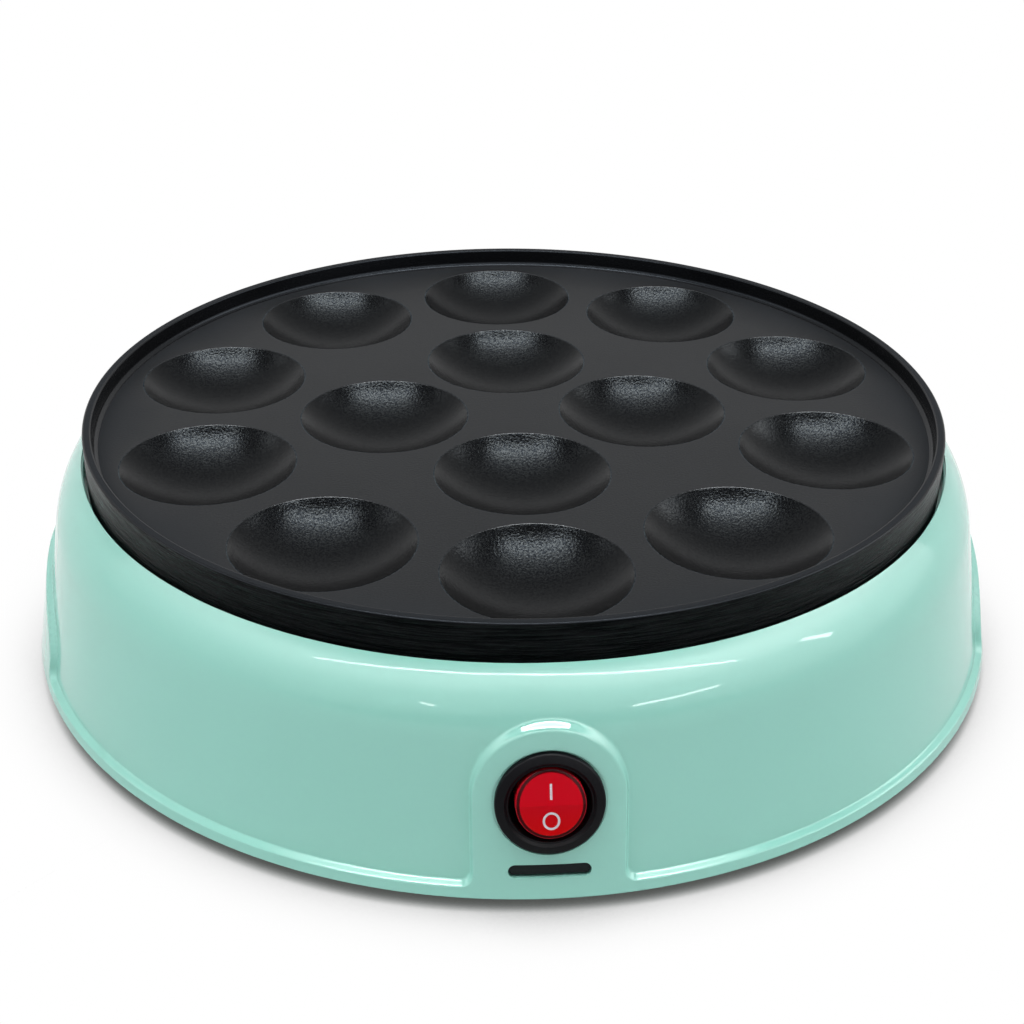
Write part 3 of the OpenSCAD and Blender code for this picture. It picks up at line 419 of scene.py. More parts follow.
def bowl_ring_tree():
    """Node tree that repeats the bowl in two rings and fills the floor between them."""
    tree = bpy.data.node_groups.new("bowl_rings", "GeometryNodeTree")
    given = inputs_of(tree, {
        "Casting": "Geometry", "Outer Ring": "Float", "Outer Bowls": "Int", "Inner Ring": "Float",
        "Inner Bowls": "Int", "Bowl Edge": "Float", "Dome Edge": "Float", "Floor Edge": "Float",
        "Skirt Edge": "Float", "Floor Level": "Float", "Underside Level": "Float", "Coat": "Material"})
    share = put(tree, "GeometryNodeInputNamedAttribute", {"Name": "bowl"}, data_type="FLOAT")
    parts = put(tree, "GeometryNodeSeparateGeometry",
                {"Geometry": given["Casting"], "Selection": share.outputs["Attribute"]}, domain="POINT")
    places = put(tree, "GeometryNodeJoinGeometry")
    for count, radius in (("Outer Bowls", "Outer Ring"), ("Inner Bowls", "Inner Ring")):
        ring = put(tree, "GeometryNodeMeshCircle", {"Vertices": given[count], "Radius": given[radius]})
        turn = put(tree, "GeometryNodeTransform",
                   {"Geometry": ring.outputs["Mesh"], "Rotation": (0, 0, -math.pi / 2)})
        tree.links.new(turn.outputs["Geometry"], places.inputs["Geometry"])
    bowls = put(tree, "GeometryNodeInstanceOnPoints",
                {"Points": places.outputs["Geometry"], "Instance": parts.outputs["Selection"]})
    whole = put(tree, "GeometryNodeJoinGeometry")
    tree.links.new(parts.outputs["Inverted"], whole.inputs["Geometry"])
    tree.links.new(bowls.outputs["Instances"], whole.inputs["Geometry"])
    for hole, edge, level, flip in (("Bowl Edge", "Floor Edge", "Floor Level", False),
                                    ("Dome Edge", "Skirt Edge", "Underside Level", True)):
        circle = put(tree, "GeometryNodeCurvePrimitiveCircle",
                     {"Resolution": BOWL_SIDES, "Radius": given[hole]})
        holes = put(tree, "GeometryNodeInstanceOnPoints",
                    {"Points": places.outputs["Geometry"], "Instance": circle.outputs["Curve"]})
        border = put(tree, "GeometryNodeCurvePrimitiveCircle",
                     {"Resolution": RIM_SIDES, "Radius": given[edge]})
        lines = put(tree, "GeometryNodeJoinGeometry")
        tree.links.new(border.outputs["Curve"], lines.inputs["Geometry"])
        real = put(tree, "GeometryNodeRealizeInstances", {"Geometry": holes.outputs["Instances"]})
        tree.links.new(real.outputs["Geometry"], lines.inputs["Geometry"])
        sheet = put(tree, "GeometryNodeFillCurve", {"Curve": lines.outputs["Geometry"]}).outputs["Mesh"]
        if flip:
            sheet = put(tree, "GeometryNodeFlipFaces", {"Mesh": sheet}).outputs["Mesh"]
        height = put(tree, "ShaderNodeCombineXYZ", {"Z": given[level]})
        raised = put(tree, "GeometryNodeTransform",
                     {"Geometry": sheet, "Translation": height.outputs["Vector"]})
        tree.links.new(raised.outputs["Geometry"], whole.inputs["Geometry"])
    real = put(tree, "GeometryNodeRealizeInstances", {"Geometry": whole.outputs["Geometry"]})
    merged = put(tree, "GeometryNodeMergeByDistance",
                 {"Geometry": real.outputs["Geometry"], "Distance": 2e-6})
    coated = put(tree, "GeometryNodeSetMaterial",
                 {"Geometry": merged.outputs["Geometry"], "Material": given["Coat"]})
    put(tree, "NodeGroupOutput", {"Made": coated.outputs["Geometry"]})
    return tree


def grow(piece, tree, values):
    """Runs a node tree on a piece with the named values, and keeps the result as its plain mesh."""
    modifier = piece.modifiers.new(tree.name, "NODES")
    modifier.node_group = tree
    for socket in tree.interface.items_tree:
        if socket.in_out == "INPUT" and socket.name in values:
            modifier[socket.identifier] = values[socket.name]
    bake(piece)


def maths(tree, operation, *values):
    """The result of a sum on plain values or sockets."""
    return put(tree, "ShaderNodeMath", enumerate(values), operation=operation).outputs["Value"]


def blend(tree, share, first, second):
    """The first colour where the share is 0 and the second where it is 1."""
    return put(tree, "ShaderNodeMix", {0: share, 6: first, 7: second}, data_type="RGBA").outputs[2]


def plate_coat():
    """Dull grey on the floor, bowls and rim painted darker as shade, flecked gloss in the bowls, worn bowl
    edges and a scored side with its gloss painted out as shade.
    """
    material, tree, shader, coords = finish("non_stick_coat")
    bowl = put(tree, "ShaderNodeAttribute", attribute_name="bowl").outputs["Fac"]
    worn = put(tree, "ShaderNodeAttribute", attribute_name="worn").outputs["Fac"]
    grain, cloud = noise(tree, coords, GRAIN_CELLS, 2), noise(tree, coords, CLOUD_CELLS, 4)
    place = put(tree, "ShaderNodeSeparateXYZ", {"Vector": coords}).outputs
    across = put(tree, "ShaderNodeVectorMath", {0: coords, 1: (1, 1, 0)}, operation="MULTIPLY")
    reach = put(tree, "ShaderNodeVectorMath", {0: across.outputs["Vector"]}, operation="LENGTH")
    reach = reach.outputs["Value"]
    flat = maths(tree, "COMPARE", place["Z"], FLOOR_Z * MM, 0.15 * MM)
    side = maths(tree, "GREATER_THAN", reach, FLOOR_R * MM)
    crown = maths(tree, "COMPARE", reach, (PLATE_R - RIM_T / 2) * MM, 0.65 * MM)
    edge = maths(tree, "SUBTRACT", side, crown)
    wall = maths(tree, "GREATER_THAN", reach, (PLATE_R - 0.05) * MM)
    turn = maths(tree, "ARCTAN2", place["Y"], place["X"])
    along = put(tree, "ShaderNodeCombineXYZ", {"X": maths(tree, "MULTIPLY", turn, SCORE_TURNS),
                                               "Y": maths(tree, "MULTIPLY", place["Z"], SCORE_ROWS)})
    streak = noise(tree, along.outputs["Vector"], 1, 5)
    # Everything but the floor starts painted darker than the floor's grey: painted shade in the bowls and on
    # the rim.
    tint = ramp(tree, cloud, [(0.3, (0.0018, 0.0018, 0.0021)), (0.7, (0.0026, 0.0026, 0.0029))])
    dulled = ramp(tree, cloud, [(0.3, (0.0054, 0.0055, 0.0059)), (0.7, (0.0076, 0.0077, 0.0081))])
    scored = ramp(tree, streak, [(0.40, (0.0004, 0.0005, 0.0007)), (0.62, (0.0060, 0.0064, 0.0070))])
    bare = ramp(tree, grain, [(0.3, (0.024, 0.025, 0.026)), (0.7, (0.048, 0.050, 0.052))])
    for share, colour in ((flat, dulled), (wall, scored), (worn, bare)):
        tint = blend(tree, share, tint, colour)
    tree.links.new(tint, shader.inputs["Base Color"])
    tree.links.new(worn, shader.inputs["Metallic"])
    rough = spread(tree, cloud, 0.72, 0.80)
    for share, other in ((bowl, spread(tree, grain, 0.12, 0.26)),
                         (edge, spread(tree, grain, 0.18, 0.32)),
                         (wall, spread(tree, streak, 0.2, 0.5))):
        rough = put(tree, "ShaderNodeMix", {0: share, 2: rough, 3: other}).outputs[0]
    tree.links.new(rough, shader.inputs["Roughness"])
    speckle = bump(tree, grain, spread(tree, bowl, 0.14, 0.26), 0.00025)
    turning = put(tree, "ShaderNodeBump", {"Height": streak, "Strength": wall, "Distance": 0.001,
                                           "Normal": speckle})
    tree.links.new(turning.outputs["Normal"], shader.inputs["Normal"])
    shader.inputs["Specular IOR Level"].default_value = 0.14
    fleck = ramp(tree, noise(tree, coords, FLECK_CELLS, 1),
                 [(0.38, (0.22, 0.27, 0.33)), (0.62, (0.86, 0.96, 1.0))])
    # On the scored side the gloss tint is all but black: painted shade that keeps the side dark whatever it
    # faces.
    even = blend(tree, wall, (0.74, 0.86, 1.0, 1), (0.02, 0.03, 0.04, 1))
    tree.links.new(blend(tree, bowl, even, fleck), shader.inputs["Specular Tint"])
    return material


plate, bowl_edge, dome_edge = blank()
coat = plate_coat()
grow(plate, bowl_ring_tree(), {
    "Outer Ring": OUTER_RING_R * MM, "Outer Bowls": OUTER_BOWLS, "Inner Ring": INNER_RING_R * MM,
    "Inner Bowls": INNER_BOWLS, "Bowl Edge": bowl_edge * MM, "Dome Edge": dome_edge * MM,
    "Floor Edge": FLOOR_R * MM, "Skirt Edge": SKIRT_R * MM, "Floor Level": FLOOR_Z * MM,
    "Underside Level": UNDER_Z * MM, "Coat": coat})
settle(plate, coat, "base", "coated_casting", "baking_plate", crease=50)


# Heater: a bent steel tube filled with packed powder, pressed against the plate's rib by four sprung
# clips, with a ceramic bead and a spade tab on each leg. The bright pan below it is pressed sheet that
# turns the heat back up, and washers and machine screws hold plate and pan to the shelf.
def toned(name, dark, light, cells, rough, metal=0.0, shine=0.5, dent=0.05):
    """A finish whose tint, gloss and surface drift over a grain of so many cells a metre."""
    material, tree, shader, coords = finish(name)
    grain = noise(tree, coords, cells, 3)
    tree.links.new(ramp(tree, grain, [(0.3, dark), (0.7, light)]), shader.inputs["Base Color"])
    tree.links.new(spread(tree, grain, *rough), shader.inputs["Roughness"])
    tree.links.new(bump(tree, grain, dent, 0.0002), shader.inputs["Normal"])
    shader.inputs["Metallic"].default_value = metal
    shader.inputs["Specular IOR Level"].default_value = shine
    return material


def dress(material, *names):
    """Gives CAD nodes that stay as they are their finish."""
    for name in names:
        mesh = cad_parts[name].data
        mesh.materials.clear()
        mesh.materials.append(material)


dress(toned("heater_tube_steel", (0.16, 0.15, 0.14), (0.26, 0.23, 0.20), 160, (0.35, 0.55), metal=1.0),
      "heating_element")
dress(toned("fired_ceramic", (0.66, 0.62, 0.54), (0.76, 0.73, 0.66), 500, (0.55, 0.7)),
      "element_insulators")
dress(toned("tinned_tab", (0.62, 0.61, 0.58), (0.74, 0.73, 0.70), 900, (0.22, 0.36), metal=1.0),
      "element_tabs", "thermostat_tabs")
dress(toned("bright_pan_sheet", (0.70, 0.71, 0.72), (0.80, 0.81, 0.82), 220, (0.16, 0.30), metal=1.0),
      "reflector_pan")
dress(toned("clip_spring_sheet", (0.52, 0.53, 0.55), (0.64, 0.65, 0.67), 700, (0.26, 0.40), metal=1.0),
      "element_clips", "thermostat_bracket", "fuse_clip", "earth_lug")
dress(toned("mica_washer", (0.42, 0.36, 0.26), (0.56, 0.50, 0.38), 1400, (0.35, 0.55)), "plate_washers")
zinc_screw = toned("zinc_screw_steel", (0.50, 0.51, 0.53), (0.66, 0.67, 0.69), 1100, (0.24, 0.40),
                   metal=1.0)
dress(zinc_screw, "clip_screws", "plate_screws", "bracket_screws", "fuse_clip_screw", "block_screw",
      "earth_screw", "terminal_screws")


# Thermostat and fuse: a bought snap-disc thermostat with a drawn metal cap on a brown moulded body,
# held against the plate by a bracket, and a thermal fuse pushed into a woven glass sleeve under the pan.
dress(toned("drawn_cap_steel", (0.60, 0.60, 0.60), (0.72, 0.72, 0.72), 600, (0.22, 0.34), metal=1.0),
      "thermostat_cap")
dress(toned("brown_moulding", (0.030, 0.016, 0.010), (0.046, 0.026, 0.016), 800, (0.38, 0.52)),
      "thermostat_body")
dress(toned("fuse_case_brass", (0.62, 0.47, 0.20), (0.72, 0.56, 0.26), 700, (0.25, 0.38), metal=1.0),
      "thermal_fuse")
dress(toned("woven_glass_sleeve", (0.52, 0.50, 0.45), (0.74, 0.72, 0.66), 1800, (0.75, 0.9), dent=0.5),
      "fuse_sleeve")


# Switch: a bought round rocker switch pushed into the pad from the front. Its bezel and barrel are one
# black nylon moulding, and the rocker is a clear red lens on two pins that a glow lamp lights from behind.
# Its marks are printed in pale grey, and inside are a sprung plunger, a see-saw blade and three tabs.
BEZEL_R, BEZEL_T, BEZEL_FALL, BEZEL_ROUND = 11.5, 1.9, 0.4, 0.5
BARREL_R, BARREL_L, POCKET_R, POCKET_Z = 9.8, 16.5, 8.6, -14.5
ROCKER_R, ROCKER_LONG, ROCKER_LOW, LENS_R = 7.3, 7.5, -3.2, 6.4
ROCKER_AXIS_Z, ROCKER_TILT = -2.0, math.radians(11)
CREASE_Z, ROOF = 6.0, math.tan(math.radians(8))
ROCKER_FRAME = (SWITCH_FRAME @ Matrix.Translation((0, 0, ROCKER_AXIS_Z * MM))
                @ Matrix.Rotation(-ROCKER_TILT, 4, "X"))
MARK_W, OFF_AT, OFF_SIZE, ON_AT, ON_H = 0.47, -3.4, (3.6, 3.9), 2.8, 3.2


def red_lens():
    material, tree, shader, coords = finish("red_lens")
    cloud = noise(tree, coords, 240, 2)
    band = put(tree, "ShaderNodeAttribute", attribute_name="band").outputs["Fac"]
    edge = put(tree, "ShaderNodeAttribute", attribute_name="edge").outputs["Fac"]
    rise = put(tree, "ShaderNodeSeparateXYZ", {"Vector": coords}).outputs["Z"]
    # The lens face is painted pinker towards its top and deeper red below: a painted sheen from above.
    painted_top_sheen = put(tree, "ShaderNodeMapRange", {"Value": rise, "From Min": (SWITCH_Z - 4) * MM,
                                           "From Max": (SWITCH_Z + 4) * MM}).outputs["Result"]
    share = maths(tree, "MULTIPLY_ADD", cloud, 0.3, painted_top_sheen)
    face = ramp(tree, share, [(0.15, (0.47, 0.0003, 0.0016)), (1.0, (0.43, 0.0012, 0.0085))])
    ring = blend(tree, band, face, (0.032, 0.0004, 0.0015, 1))
    # A brighter red line is painted round the lens's outer edge: a painted glow of light passing through the
    # rim.
    tree.links.new(blend(tree, edge, ring, (0.52, 0.006, 0.016, 1)), shader.inputs["Base Color"])
    tree.links.new(spread(tree, cloud, 0.16, 0.24), shader.inputs["Roughness"])
    shader.inputs["Specular IOR Level"].default_value = 0.045
    return material


def rocker_top(v):
    """Height of the rocker's face: two planes that meet in a crease."""
    return CREASE_Z - np.abs(v) * ROOF


def rocker_shape():
    """Face, stepped edge band and skirt of the rocker, closed below."""
    band = [(0.05, 0.05), (0.12, 0.2), (0.3, 0.28), (0.7, 0.36), (0.85, 0.45), (0.96, 0.62), (1.0, 0.9)]
    drops = [(r, 0) for r in (0.01, 1.5, 3, 4.5, 5.5, LENS_R)]
    drops += [(LENS_R + (ROCKER_R - LENS_R) * a, d) for a, d in band]
    drops += [(r, None) for r in (ROCKER_R, ROCKER_R - 1.2)]
    turn = np.linspace(0, 2 * np.pi, 96, endpoint=False)
    rows = []
    for r, drop in drops:
        v = r * ROCKER_LONG / ROCKER_R * np.sin(turn)
        top = np.full(turn.shape, ROCKER_LOW) if drop is None else rocker_top(v) - drop
        rows.append(np.stack([r * np.cos(turn), v, top], 1))
    points, faces = closed_sheet(np.array(rows) * MM, False)
    last = len(points) - len(turn)
    return points, faces + [tuple(range(len(turn))), tuple(range(last, last + len(turn)))]


def share_by_radius(piece, place, name, start, end):
    """Marks the points of the oval rocker with a share that rises from 0 to 1 between two radii."""
    local = np.array([tuple(place.inverted() @ v.co) for v in piece.data.vertices]) / MM
    share = ease((np.hypot(local[:, 0], local[:, 1] * ROCKER_R / ROCKER_LONG) - start) / (end - start))
    piece.data.attributes.new(name, "FLOAT", "POINT").data.foreach_set("value", share.astype(np.float32))


def print_mark(name, outlines):
    """A flat printed mark just proud of the rocker's face, from outer and inner outlines."""
    rows = np.array([[(u, v, rocker_top(v) + 0.02) for u, v in line] for line in outlines]) * MM
    points, faces = closed_sheet(rows, False)
    return new_object(name, points, faces, ROCKER_FRAME)


def press_spring(material):
    """The coil behind the plunger, which the plunger presses, copied from the CAD coil into a mesh of its
    own.
    """
    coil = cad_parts["contact_spring"].data
    made = new_object("plunger_spring", [v.co for v in coil.vertices],
                      [tuple(f.vertices) for f in coil.polygons])
    settle(made, material, "rocker", "spring_steel", "contact_spring")
    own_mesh(made)


black_nylon = toned("black_nylon", (0.0016, 0.0017, 0.0026), (0.0030, 0.0031, 0.0042), 2600, (0.30, 0.42),
                    shine=0.08, dent=0.12)
bezel = new_object("switch_bezel", *turned(
    [(0, -BARREL_L), (BARREL_R, -BARREL_L), (BARREL_R, 0), (BEZEL_R, 0)]
    + arc((BEZEL_R - BEZEL_ROUND, BEZEL_T - BEZEL_FALL - BEZEL_ROUND), BEZEL_ROUND, 0, 74, 6)
    + [(BEZEL_R - 1.9, BEZEL_T)]
    + arc((POCKET_R + 0.3, BEZEL_T - 0.75), 0.35, 75, 180, 6)
    + [(POCKET_R, BEZEL_T - 1.6), (POCKET_R, POCKET_Z), (0, POCKET_Z)], 128), SWITCH_FRAME)
settle(bezel, black_nylon, "base", "switch_black", "switch_body", crease=20)
rocker = new_object("rocker_lens", *rocker_shape(), ROCKER_FRAME)
share_by_radius(rocker, ROCKER_FRAME, "band", LENS_R, LENS_R + 0.15)
# The edge share marks where the painted glow runs round the lens.
share_by_radius(rocker, ROCKER_FRAME, "edge", ROCKER_R - 0.22, ROCKER_R - 0.05)
settle(rocker, red_lens(), "rocker", "rocker_red", "switch_rocker", crease=14)
printed = toned("pale_print", (0.50, 0.47, 0.50), (0.58, 0.55, 0.58), 3000, (0.45, 0.6), shine=0.2)
ring = np.linspace(0, 2 * np.pi, 64, endpoint=False)
off_mark = [[((OFF_SIZE[0] / 2 - w) * math.cos(t), OFF_AT + (OFF_SIZE[1] / 2 - w) * math.sin(t))
             for t in ring] for w in (0, MARK_W)]
bar_corners = ((-1, -1), (1, -1), (1, 1), (-1, 1))
on_mark = [[(a * (MARK_W / 2 - w), ON_AT + b * (ON_H / 2 - w)) for a, b in bar_corners]
           for w in (0, MARK_W / 2 - 0.02)]
settle(print_mark("off_mark", off_mark), printed, "rocker", "plunger_nylon")
settle(print_mark("on_mark", on_mark), printed, "rocker", "plunger_nylon")
dress(toned("white_nylon", (0.70, 0.70, 0.67), (0.78, 0.78, 0.75), 900, (0.3, 0.42)), "contact_plunger")
spring_wire = toned("spring_wire", (0.46, 0.47, 0.48), (0.58, 0.59, 0.60), 1500, (0.22, 0.34), metal=1.0)
press_spring(spring_wire)
dress(toned("contact_copper", (0.72, 0.40, 0.26), (0.80, 0.48, 0.32), 900, (0.24, 0.38), metal=1.0),
      "contact_blade")
sheet_brass = toned("sheet_brass", (0.68, 0.52, 0.22), (0.76, 0.60, 0.28), 900, (0.24, 0.38), metal=1.0)
dress(sheet_brass, "live_tab", "load_tab", "lamp_tab", "terminal_sleeves")
dress(toned("lamp_glass", (0.62, 0.36, 0.26), (0.70, 0.44, 0.32), 700, (0.08, 0.16)), "switch_lamp")


# Terminals and wiring: a white moulded block with brass sleeves joins the lead to the inner wires, which
# are stranded copper in coloured silicone, laid loosely along the base and crimped or clamped at each end.
dress(toned("block_moulding", (0.66, 0.65, 0.60), (0.74, 0.73, 0.68), 500, (0.4, 0.52)), "terminal_block")
dress(toned("brown_silicone", (0.080, 0.034, 0.016), (0.110, 0.048, 0.024), 600, (0.45, 0.6)), "live_wire")
dress(toned("black_silicone", (0.012, 0.012, 0.013), (0.020, 0.020, 0.021), 600, (0.45, 0.6)),
      "switched_wire", "fuse_wire", "element_wire")
dress(toned("blue_silicone", (0.020, 0.070, 0.30), (0.030, 0.095, 0.38), 600, (0.45, 0.6)),
      "neutral_wire", "lamp_wire")
dress(toned("green_silicone", (0.10, 0.30, 0.030), (0.42, 0.44, 0.040), 140, (0.45, 0.6)), "earth_wire")


# Gland: a black nylon bush pushed into the back wall, with a rolled collar outside and a barbed neck
# inside, that keeps the lead off the moulding's edge.
dress(toned("gland_nylon", (0.012, 0.012, 0.013), (0.022, 0.022, 0.023), 1200, (0.42, 0.58), dent=0.1),
      "cord_gland")


# Base: a dark moulded cover with vents closes the housing from below, with a catch that shows in the slot
# under the switch. Five tapping screws hold it, and four rubber feet are pushed into its holes.
COVER_SCREW_R, COVER_SCREW_Z, FIRST_SCREW = OPENING_R - 4.6, SEAT_Z + 0.6, math.radians(-36)
COVER_SCREWS, SCREW_SEED = 5, 4
HEAD_D, HEAD_H, HEAD_ROUND, SHANK_D, SHANK_L = 6.6, 2.2, 1.0, 2.8, 14.0
RECESS_L, RECESS_W, RECESS_D = 3.4, 0.7, 1.1


def screw_ring_tree():
    """Node tree that sets one screw round a ring, each with its recess at another angle."""
    tree = bpy.data.node_groups.new("screw_ring", "GeometryNodeTree")
    given = inputs_of(tree, {"Screw": "Geometry", "Count": "Int", "Ring": "Float", "First": "Float",
                             "Level": "Float", "Finish": "Material"})
    ring = put(tree, "GeometryNodeMeshCircle", {"Vertices": given["Count"], "Radius": given["Ring"]})
    start = put(tree, "ShaderNodeCombineXYZ", {"Z": given["First"]})
    height = put(tree, "ShaderNodeCombineXYZ", {"Z": given["Level"]})
    places = put(tree, "GeometryNodeTransform", {
        "Geometry": ring.outputs["Mesh"], "Translation": height.outputs["Vector"],
        "Rotation": start.outputs["Vector"]})
    chance = put(tree, "FunctionNodeRandomValue", {"Max": math.pi / 2, "Seed": SCREW_SEED}, data_type="FLOAT")
    angle = put(tree, "ShaderNodeCombineXYZ", {"Z": chance.outputs["Value"]})
    screws = put(tree, "GeometryNodeInstanceOnPoints", {
        "Points": places.outputs["Geometry"], "Instance": given["Screw"],
        "Rotation": angle.outputs["Vector"]})
    real = put(tree, "GeometryNodeRealizeInstances", {"Geometry": screws.outputs["Instances"]})
    plated = put(tree, "GeometryNodeSetMaterial",
                 {"Geometry": real.outputs["Geometry"], "Material": given["Finish"]})
    put(tree, "NodeGroupOutput", {"Made": plated.outputs["Geometry"]})
    return tree


def tapping_screw():
    """One screw at the origin, head down, with a rounded head and a cross recess."""
    crown = [(0, -HEAD_H), (HEAD_D / 2 - 1.4, -HEAD_H + 0.1)]
    crown += arc((HEAD_D / 2 - HEAD_ROUND, -HEAD_H + 1.15), HEAD_ROUND, -80, 0, 6)
    shank = [(HEAD_D / 2, 0), (SHANK_D / 2, 0), (SHANK_D / 2, SHANK_L - 2.2), (0.2, SHANK_L), (0, SHANK_L)]
    made = new_object("cover_screw_set", *turned(crown + shank, 32))
    arms = []
    for turn in (0, math.pi / 2):
        outline = [(a * RECESS_L / 2, b * RECESS_W / 2) for a, b in bar_corners]
        place = Matrix.Rotation(turn, 4, "Z")
        arms.append(bar("recess_cutter", outline, -HEAD_H - 1, -HEAD_H + RECESS_D, place))
    cut(made, *arms)
    return made


cover_screws = tapping_screw()
grow(cover_screws, screw_ring_tree(), {
    "Count": COVER_SCREWS, "Ring": COVER_SCREW_R * MM, "First": FIRST_SCREW,
    "Level": COVER_SCREW_Z * MM, "Finish": zinc_screw})
settle(cover_screws, zinc_screw, "base", "screw_steel", "cover_screws")
dress(toned("dark_cover_plastic", (0.0048, 0.0072, 0.0080), (0.0078, 0.0108, 0.0118), 1500, (0.5, 0.64),
            shine=0.12, dent=0.15), "base_cover")
dress(toned("foot_rubber", (0.016, 0.016, 0.016), (0.026, 0.026, 0.026), 900, (0.7, 0.85), dent=0.2),
      "foot_1", "foot_2", "foot_3", "foot_4")


# Stage: a plain white floor under a soft lamp, a curved surround, a canopy and four thin strips that only
# the gloss shows and that light nothing, and the camera at the photograph's angle. Sizes are in metres.
FLOOR_HALF, SHADOW_REACH = 6, 0.024
LIFT_FROM, LIFT_TO, LIFT_MOST = -0.06, 0.02, 0.8
SHADOW = [(0.20, (0.08, 0.085, 0.08)), (0.33, (0.17, 0.18, 0.175)), (0.50, (0.42, 0.43, 0.425)),
          (0.645, (0.75, 0.75, 0.75)), (0.75, (0.92, 0.92, 0.92)), (0.9, (1, 1, 1))]
WALL_AT, WALL_H, WALL_TURN, SIDE_DROP, WALL_GLOW = 1.4, 2.73, 110, 0.13, (3.7, 6.4)
WALL_GREYS = [(0.0, 0.04), (0.10, 0.06), (0.15, 0.24), (0.30, 0.46), (0.40, 0.85), (0.50, 1.0),
              (0.60, 0.50), (0.72, 0.03)]
CANOPY_Z, CANOPY_HALF, CANOPY_FRONT, CANOPY_BACK, CANOPY_GLOW = 3.0, 4.0, -1.7, 1.1, 44.0
CANOPY_GREYS = [(0.0, 0.001), (0.290, 0.002), (0.340, 0.20), (0.368, 1.0), (0.410, 0.90), (0.450, 0.36),
                (0.514, 0.21), (0.654, 0.10), (0.804, 0.05), (1.0, 0.033)]
STRIPS = [("long_strip", (-1.08, -0.81, 0.93), (0.94, -0.81, 0.67), 0.016, 26),
          ("right_strip", (0.33, -0.85, 0.205), (0.57, -0.67, 0.23), 0.02, 14),
          ("left_strip", (-0.34, -0.81, 0.28), (-0.30, -0.83, 0.25), 0.020, 12),
          ("window", (0.74, -0.36, 0.36), (0.81, -0.29, 0.26), 0.03, 14)]
LAMP_AT, LAMP_SIZE, LAMP_POWER, WORLD_LIGHT = (0, -0.18, 1.05), (2.8, 0.15), 22, 0.32
CAMERA_AT, CAMERA_LENS = (-0.026692, -0.400982, 0.248948), 60.84
CAMERA_TURN, CAMERA_RISE, CAMERA_ROLL = math.radians(3.77), math.radians(28.908), math.radians(0.367)


def seen_rays(tree):
    """1 for rays from the camera and for reflected or passed ones, 0 for rays that light other things."""
    ray = put(tree, "ShaderNodeLightPath").outputs
    either = maths(tree, "MAXIMUM", ray["Is Camera Ray"], ray["Is Glossy Ray"])
    return maths(tree, "MAXIMUM", either, ray["Is Transmission Ray"])


def stage_sheet(name, corners, material, faces=((0, 1, 2, 3),)):
    mesh = bpy.data.meshes.new(name)
    mesh.from_pydata(corners, [], faces)
    mesh.materials.append(material)
    made = bpy.data.objects.new(name, mesh)
    bpy.context.scene.collection.objects.link(made)
    return made


def stage_floor():
    """A white floor with the object's shadow painted into its glow from how closed in each point is, fainter
    towards the back.
    """
    material, tree, shader, coords = finish("white_floor")
    shader.inputs["Base Color"].default_value = (0.75, 0.75, 0.75, 1)
    shader.inputs["Roughness"].default_value = 0.9
    open_sky = put(tree, "ShaderNodeAmbientOcclusion", {"Distance": SHADOW_REACH}, samples=16).outputs["AO"]
    back = put(tree, "ShaderNodeSeparateXYZ", {"Vector": coords}).outputs["Y"]
    lift = put(tree, "ShaderNodeMapRange", {"Value": back, "From Min": LIFT_FROM, "From Max": LIFT_TO,
                                            "To Max": LIFT_MOST}).outputs["Result"]
    seen = blend(tree, lift, ramp(tree, open_sky, SHADOW), (1, 1, 1, 1))
    glow = put(tree, "ShaderNodeEmission", {"Color": seen})
    mixed = put(tree, "ShaderNodeMixShader",
                {0: seen_rays(tree), 1: shader.outputs["BSDF"], 2: glow.outputs["Emission"]})
    tree.links.new(mixed.outputs["Shader"], tree.nodes["Material Output"].inputs["Surface"])
    corners = [(a * FLOOR_HALF, b * FLOOR_HALF, 0) for a, b in bar_corners]
    stage_sheet("floor", corners, material)


def gloss_sheet(name, material, glow, corners, faces=((0, 1, 2, 3),)):
    """A glowing sheet that only the gloss shows: it lights nothing and the camera doesn't see it."""
    tree = material.node_tree
    glow = put(tree, "ShaderNodeEmission", glow)
    tree.links.new(glow.outputs["Emission"], tree.nodes["Material Output"].inputs["Surface"])
    sheet = stage_sheet(name, corners, material, faces)
    sheet.visible_camera = sheet.visible_diffuse = False
    sheet.visible_transmission = sheet.visible_shadow = False


def greys(tree, factor, stops):
    return ramp(tree, factor, [(place, (level,) * 3) for place, level in stops])


def surround():
    """A curved wall in front and at the sides, bright in the middle of its height, lower at the sides."""
    material, tree, _, coords = finish("surround")
    place = put(tree, "ShaderNodeSeparateXYZ", {"Vector": coords}).outputs
    share = put(tree, "ShaderNodeMapRange", {"Value": place["Z"], "From Max": WALL_H}).outputs["Result"]
    lowered = maths(tree, "MULTIPLY_ADD", maths(tree, "ABSOLUTE", place["X"]), SIDE_DROP / WALL_AT, share)
    gain = put(tree, "ShaderNodeMapRange", {
        "Value": place["X"], "From Min": -WALL_AT, "From Max": WALL_AT,
        "To Min": WALL_GLOW[0], "To Max": WALL_GLOW[1]}).outputs["Result"]
    turn = np.radians(np.linspace(-WALL_TURN, WALL_TURN, 56))
    corners = [(WALL_AT * math.sin(t), -WALL_AT * math.cos(t), z) for z in (0, WALL_H) for t in turn]
    faces = [(k, k + 1, k + 1 + len(turn), k + len(turn)) for k in range(len(turn) - 1)]
    glow = {"Color": greys(tree, lowered, WALL_GREYS), "Strength": gain}
    gloss_sheet("surround", material, glow, corners, faces)


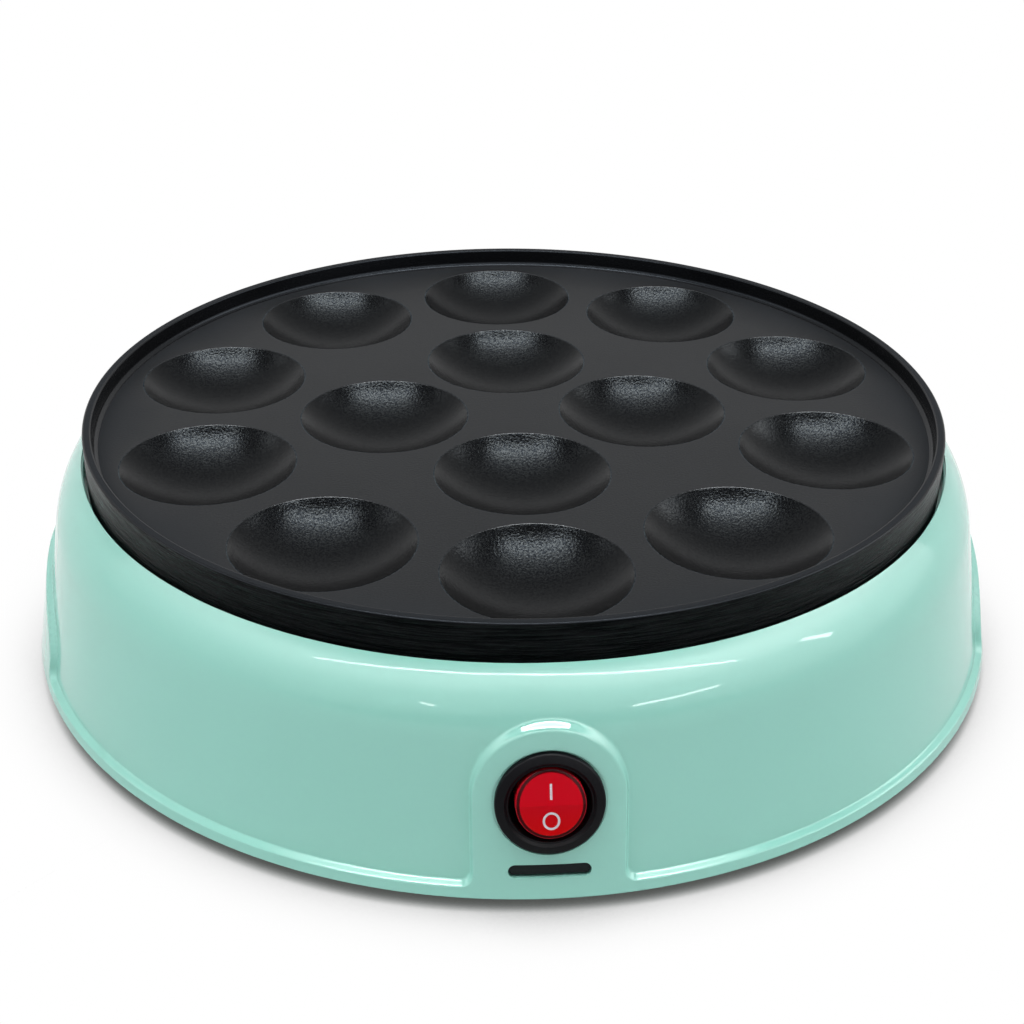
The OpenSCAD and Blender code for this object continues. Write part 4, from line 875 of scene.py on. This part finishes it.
def canopy():
    """A sheet overhead, dark in front, brightest just before the middle and fading towards the back."""
    material, tree, _, coords = finish("canopy")
    place = put(tree, "ShaderNodeSeparateXYZ", {"Vector": coords}).outputs["Y"]
    share = put(tree, "ShaderNodeMapRange", {
        "Value": place, "From Min": CANOPY_FRONT, "From Max": CANOPY_BACK}).outputs["Result"]
    left, right = -CANOPY_HALF, CANOPY_HALF
    corners = [(left, CANOPY_FRONT, CANOPY_Z), (left, CANOPY_BACK, CANOPY_Z),
               (right, CANOPY_BACK, CANOPY_Z), (right, CANOPY_FRONT, CANOPY_Z)]
    glow = {"Color": greys(tree, share, CANOPY_GREYS), "Strength": CANOPY_GLOW}
    gloss_sheet("canopy", material, glow, corners)


def strip(name, start, end, width, strength):
    """A thin bright strip between two points, turned towards the object."""
    start, end = Vector(start), Vector(end)
    side = (end - start).cross(Vector((0, 0, 0.05)) - (start + end) / 2).normalized() * width / 2
    corners = [start - side, end - side, end + side, start + side]
    gloss_sheet(name, finish(name)[0], {"Strength": strength}, corners)


def stage_world():
    """White to look at, with less light than that on the object."""
    world = bpy.data.worlds.new("studio")
    world.use_nodes = True
    tree = world.node_tree
    background = tree.nodes["Background"].inputs
    tree.links.new(spread(tree, seen_rays(tree), WORLD_LIGHT, 1.0), background["Strength"])
    background["Color"].default_value = (1, 1, 1, 1)
    bpy.context.scene.world = world


def overhead_lamp():
    """The lamp that lights the object from above; the canopy stands for it in the gloss."""
    light = bpy.data.lights.new("overhead", "AREA")
    light.shape, light.size, light.size_y, light.energy = "RECTANGLE", *LAMP_SIZE, LAMP_POWER
    made = bpy.data.objects.new("overhead", light)
    made.matrix_world = Matrix.Translation(LAMP_AT)
    made.visible_glossy = False
    bpy.context.scene.collection.objects.link(made)


def photo_camera():
    data = bpy.data.cameras.new("camera")
    data.lens, data.sensor_width, data.clip_start = CAMERA_LENS, 36, 0.01
    level = math.cos(CAMERA_RISE)
    ahead = Vector((math.sin(CAMERA_TURN) * level, math.cos(CAMERA_TURN) * level, -math.sin(CAMERA_RISE)))
    right = Vector((math.cos(CAMERA_TURN), -math.sin(CAMERA_TURN), 0))
    up = right.cross(ahead)
    turn, rest = math.sin(CAMERA_ROLL), math.cos(CAMERA_ROLL)
    right, up = right * rest + up * turn, up * rest - right * turn
    made = bpy.data.objects.new("camera", data)
    axes = Matrix((right, up, -ahead)).transposed().to_4x4()
    made.matrix_world = Matrix.Translation(CAMERA_AT) @ axes
    bpy.context.scene.collection.objects.link(made)
    bpy.context.scene.camera = made


stage_floor()
stage_world()
overhead_lamp()
surround()
canopy()
for name, start, end, width, strength in STRIPS:
    strip(name, start, end, width, strength)
photo_camera()
bpy.context.scene.view_settings.view_transform = "Standard"
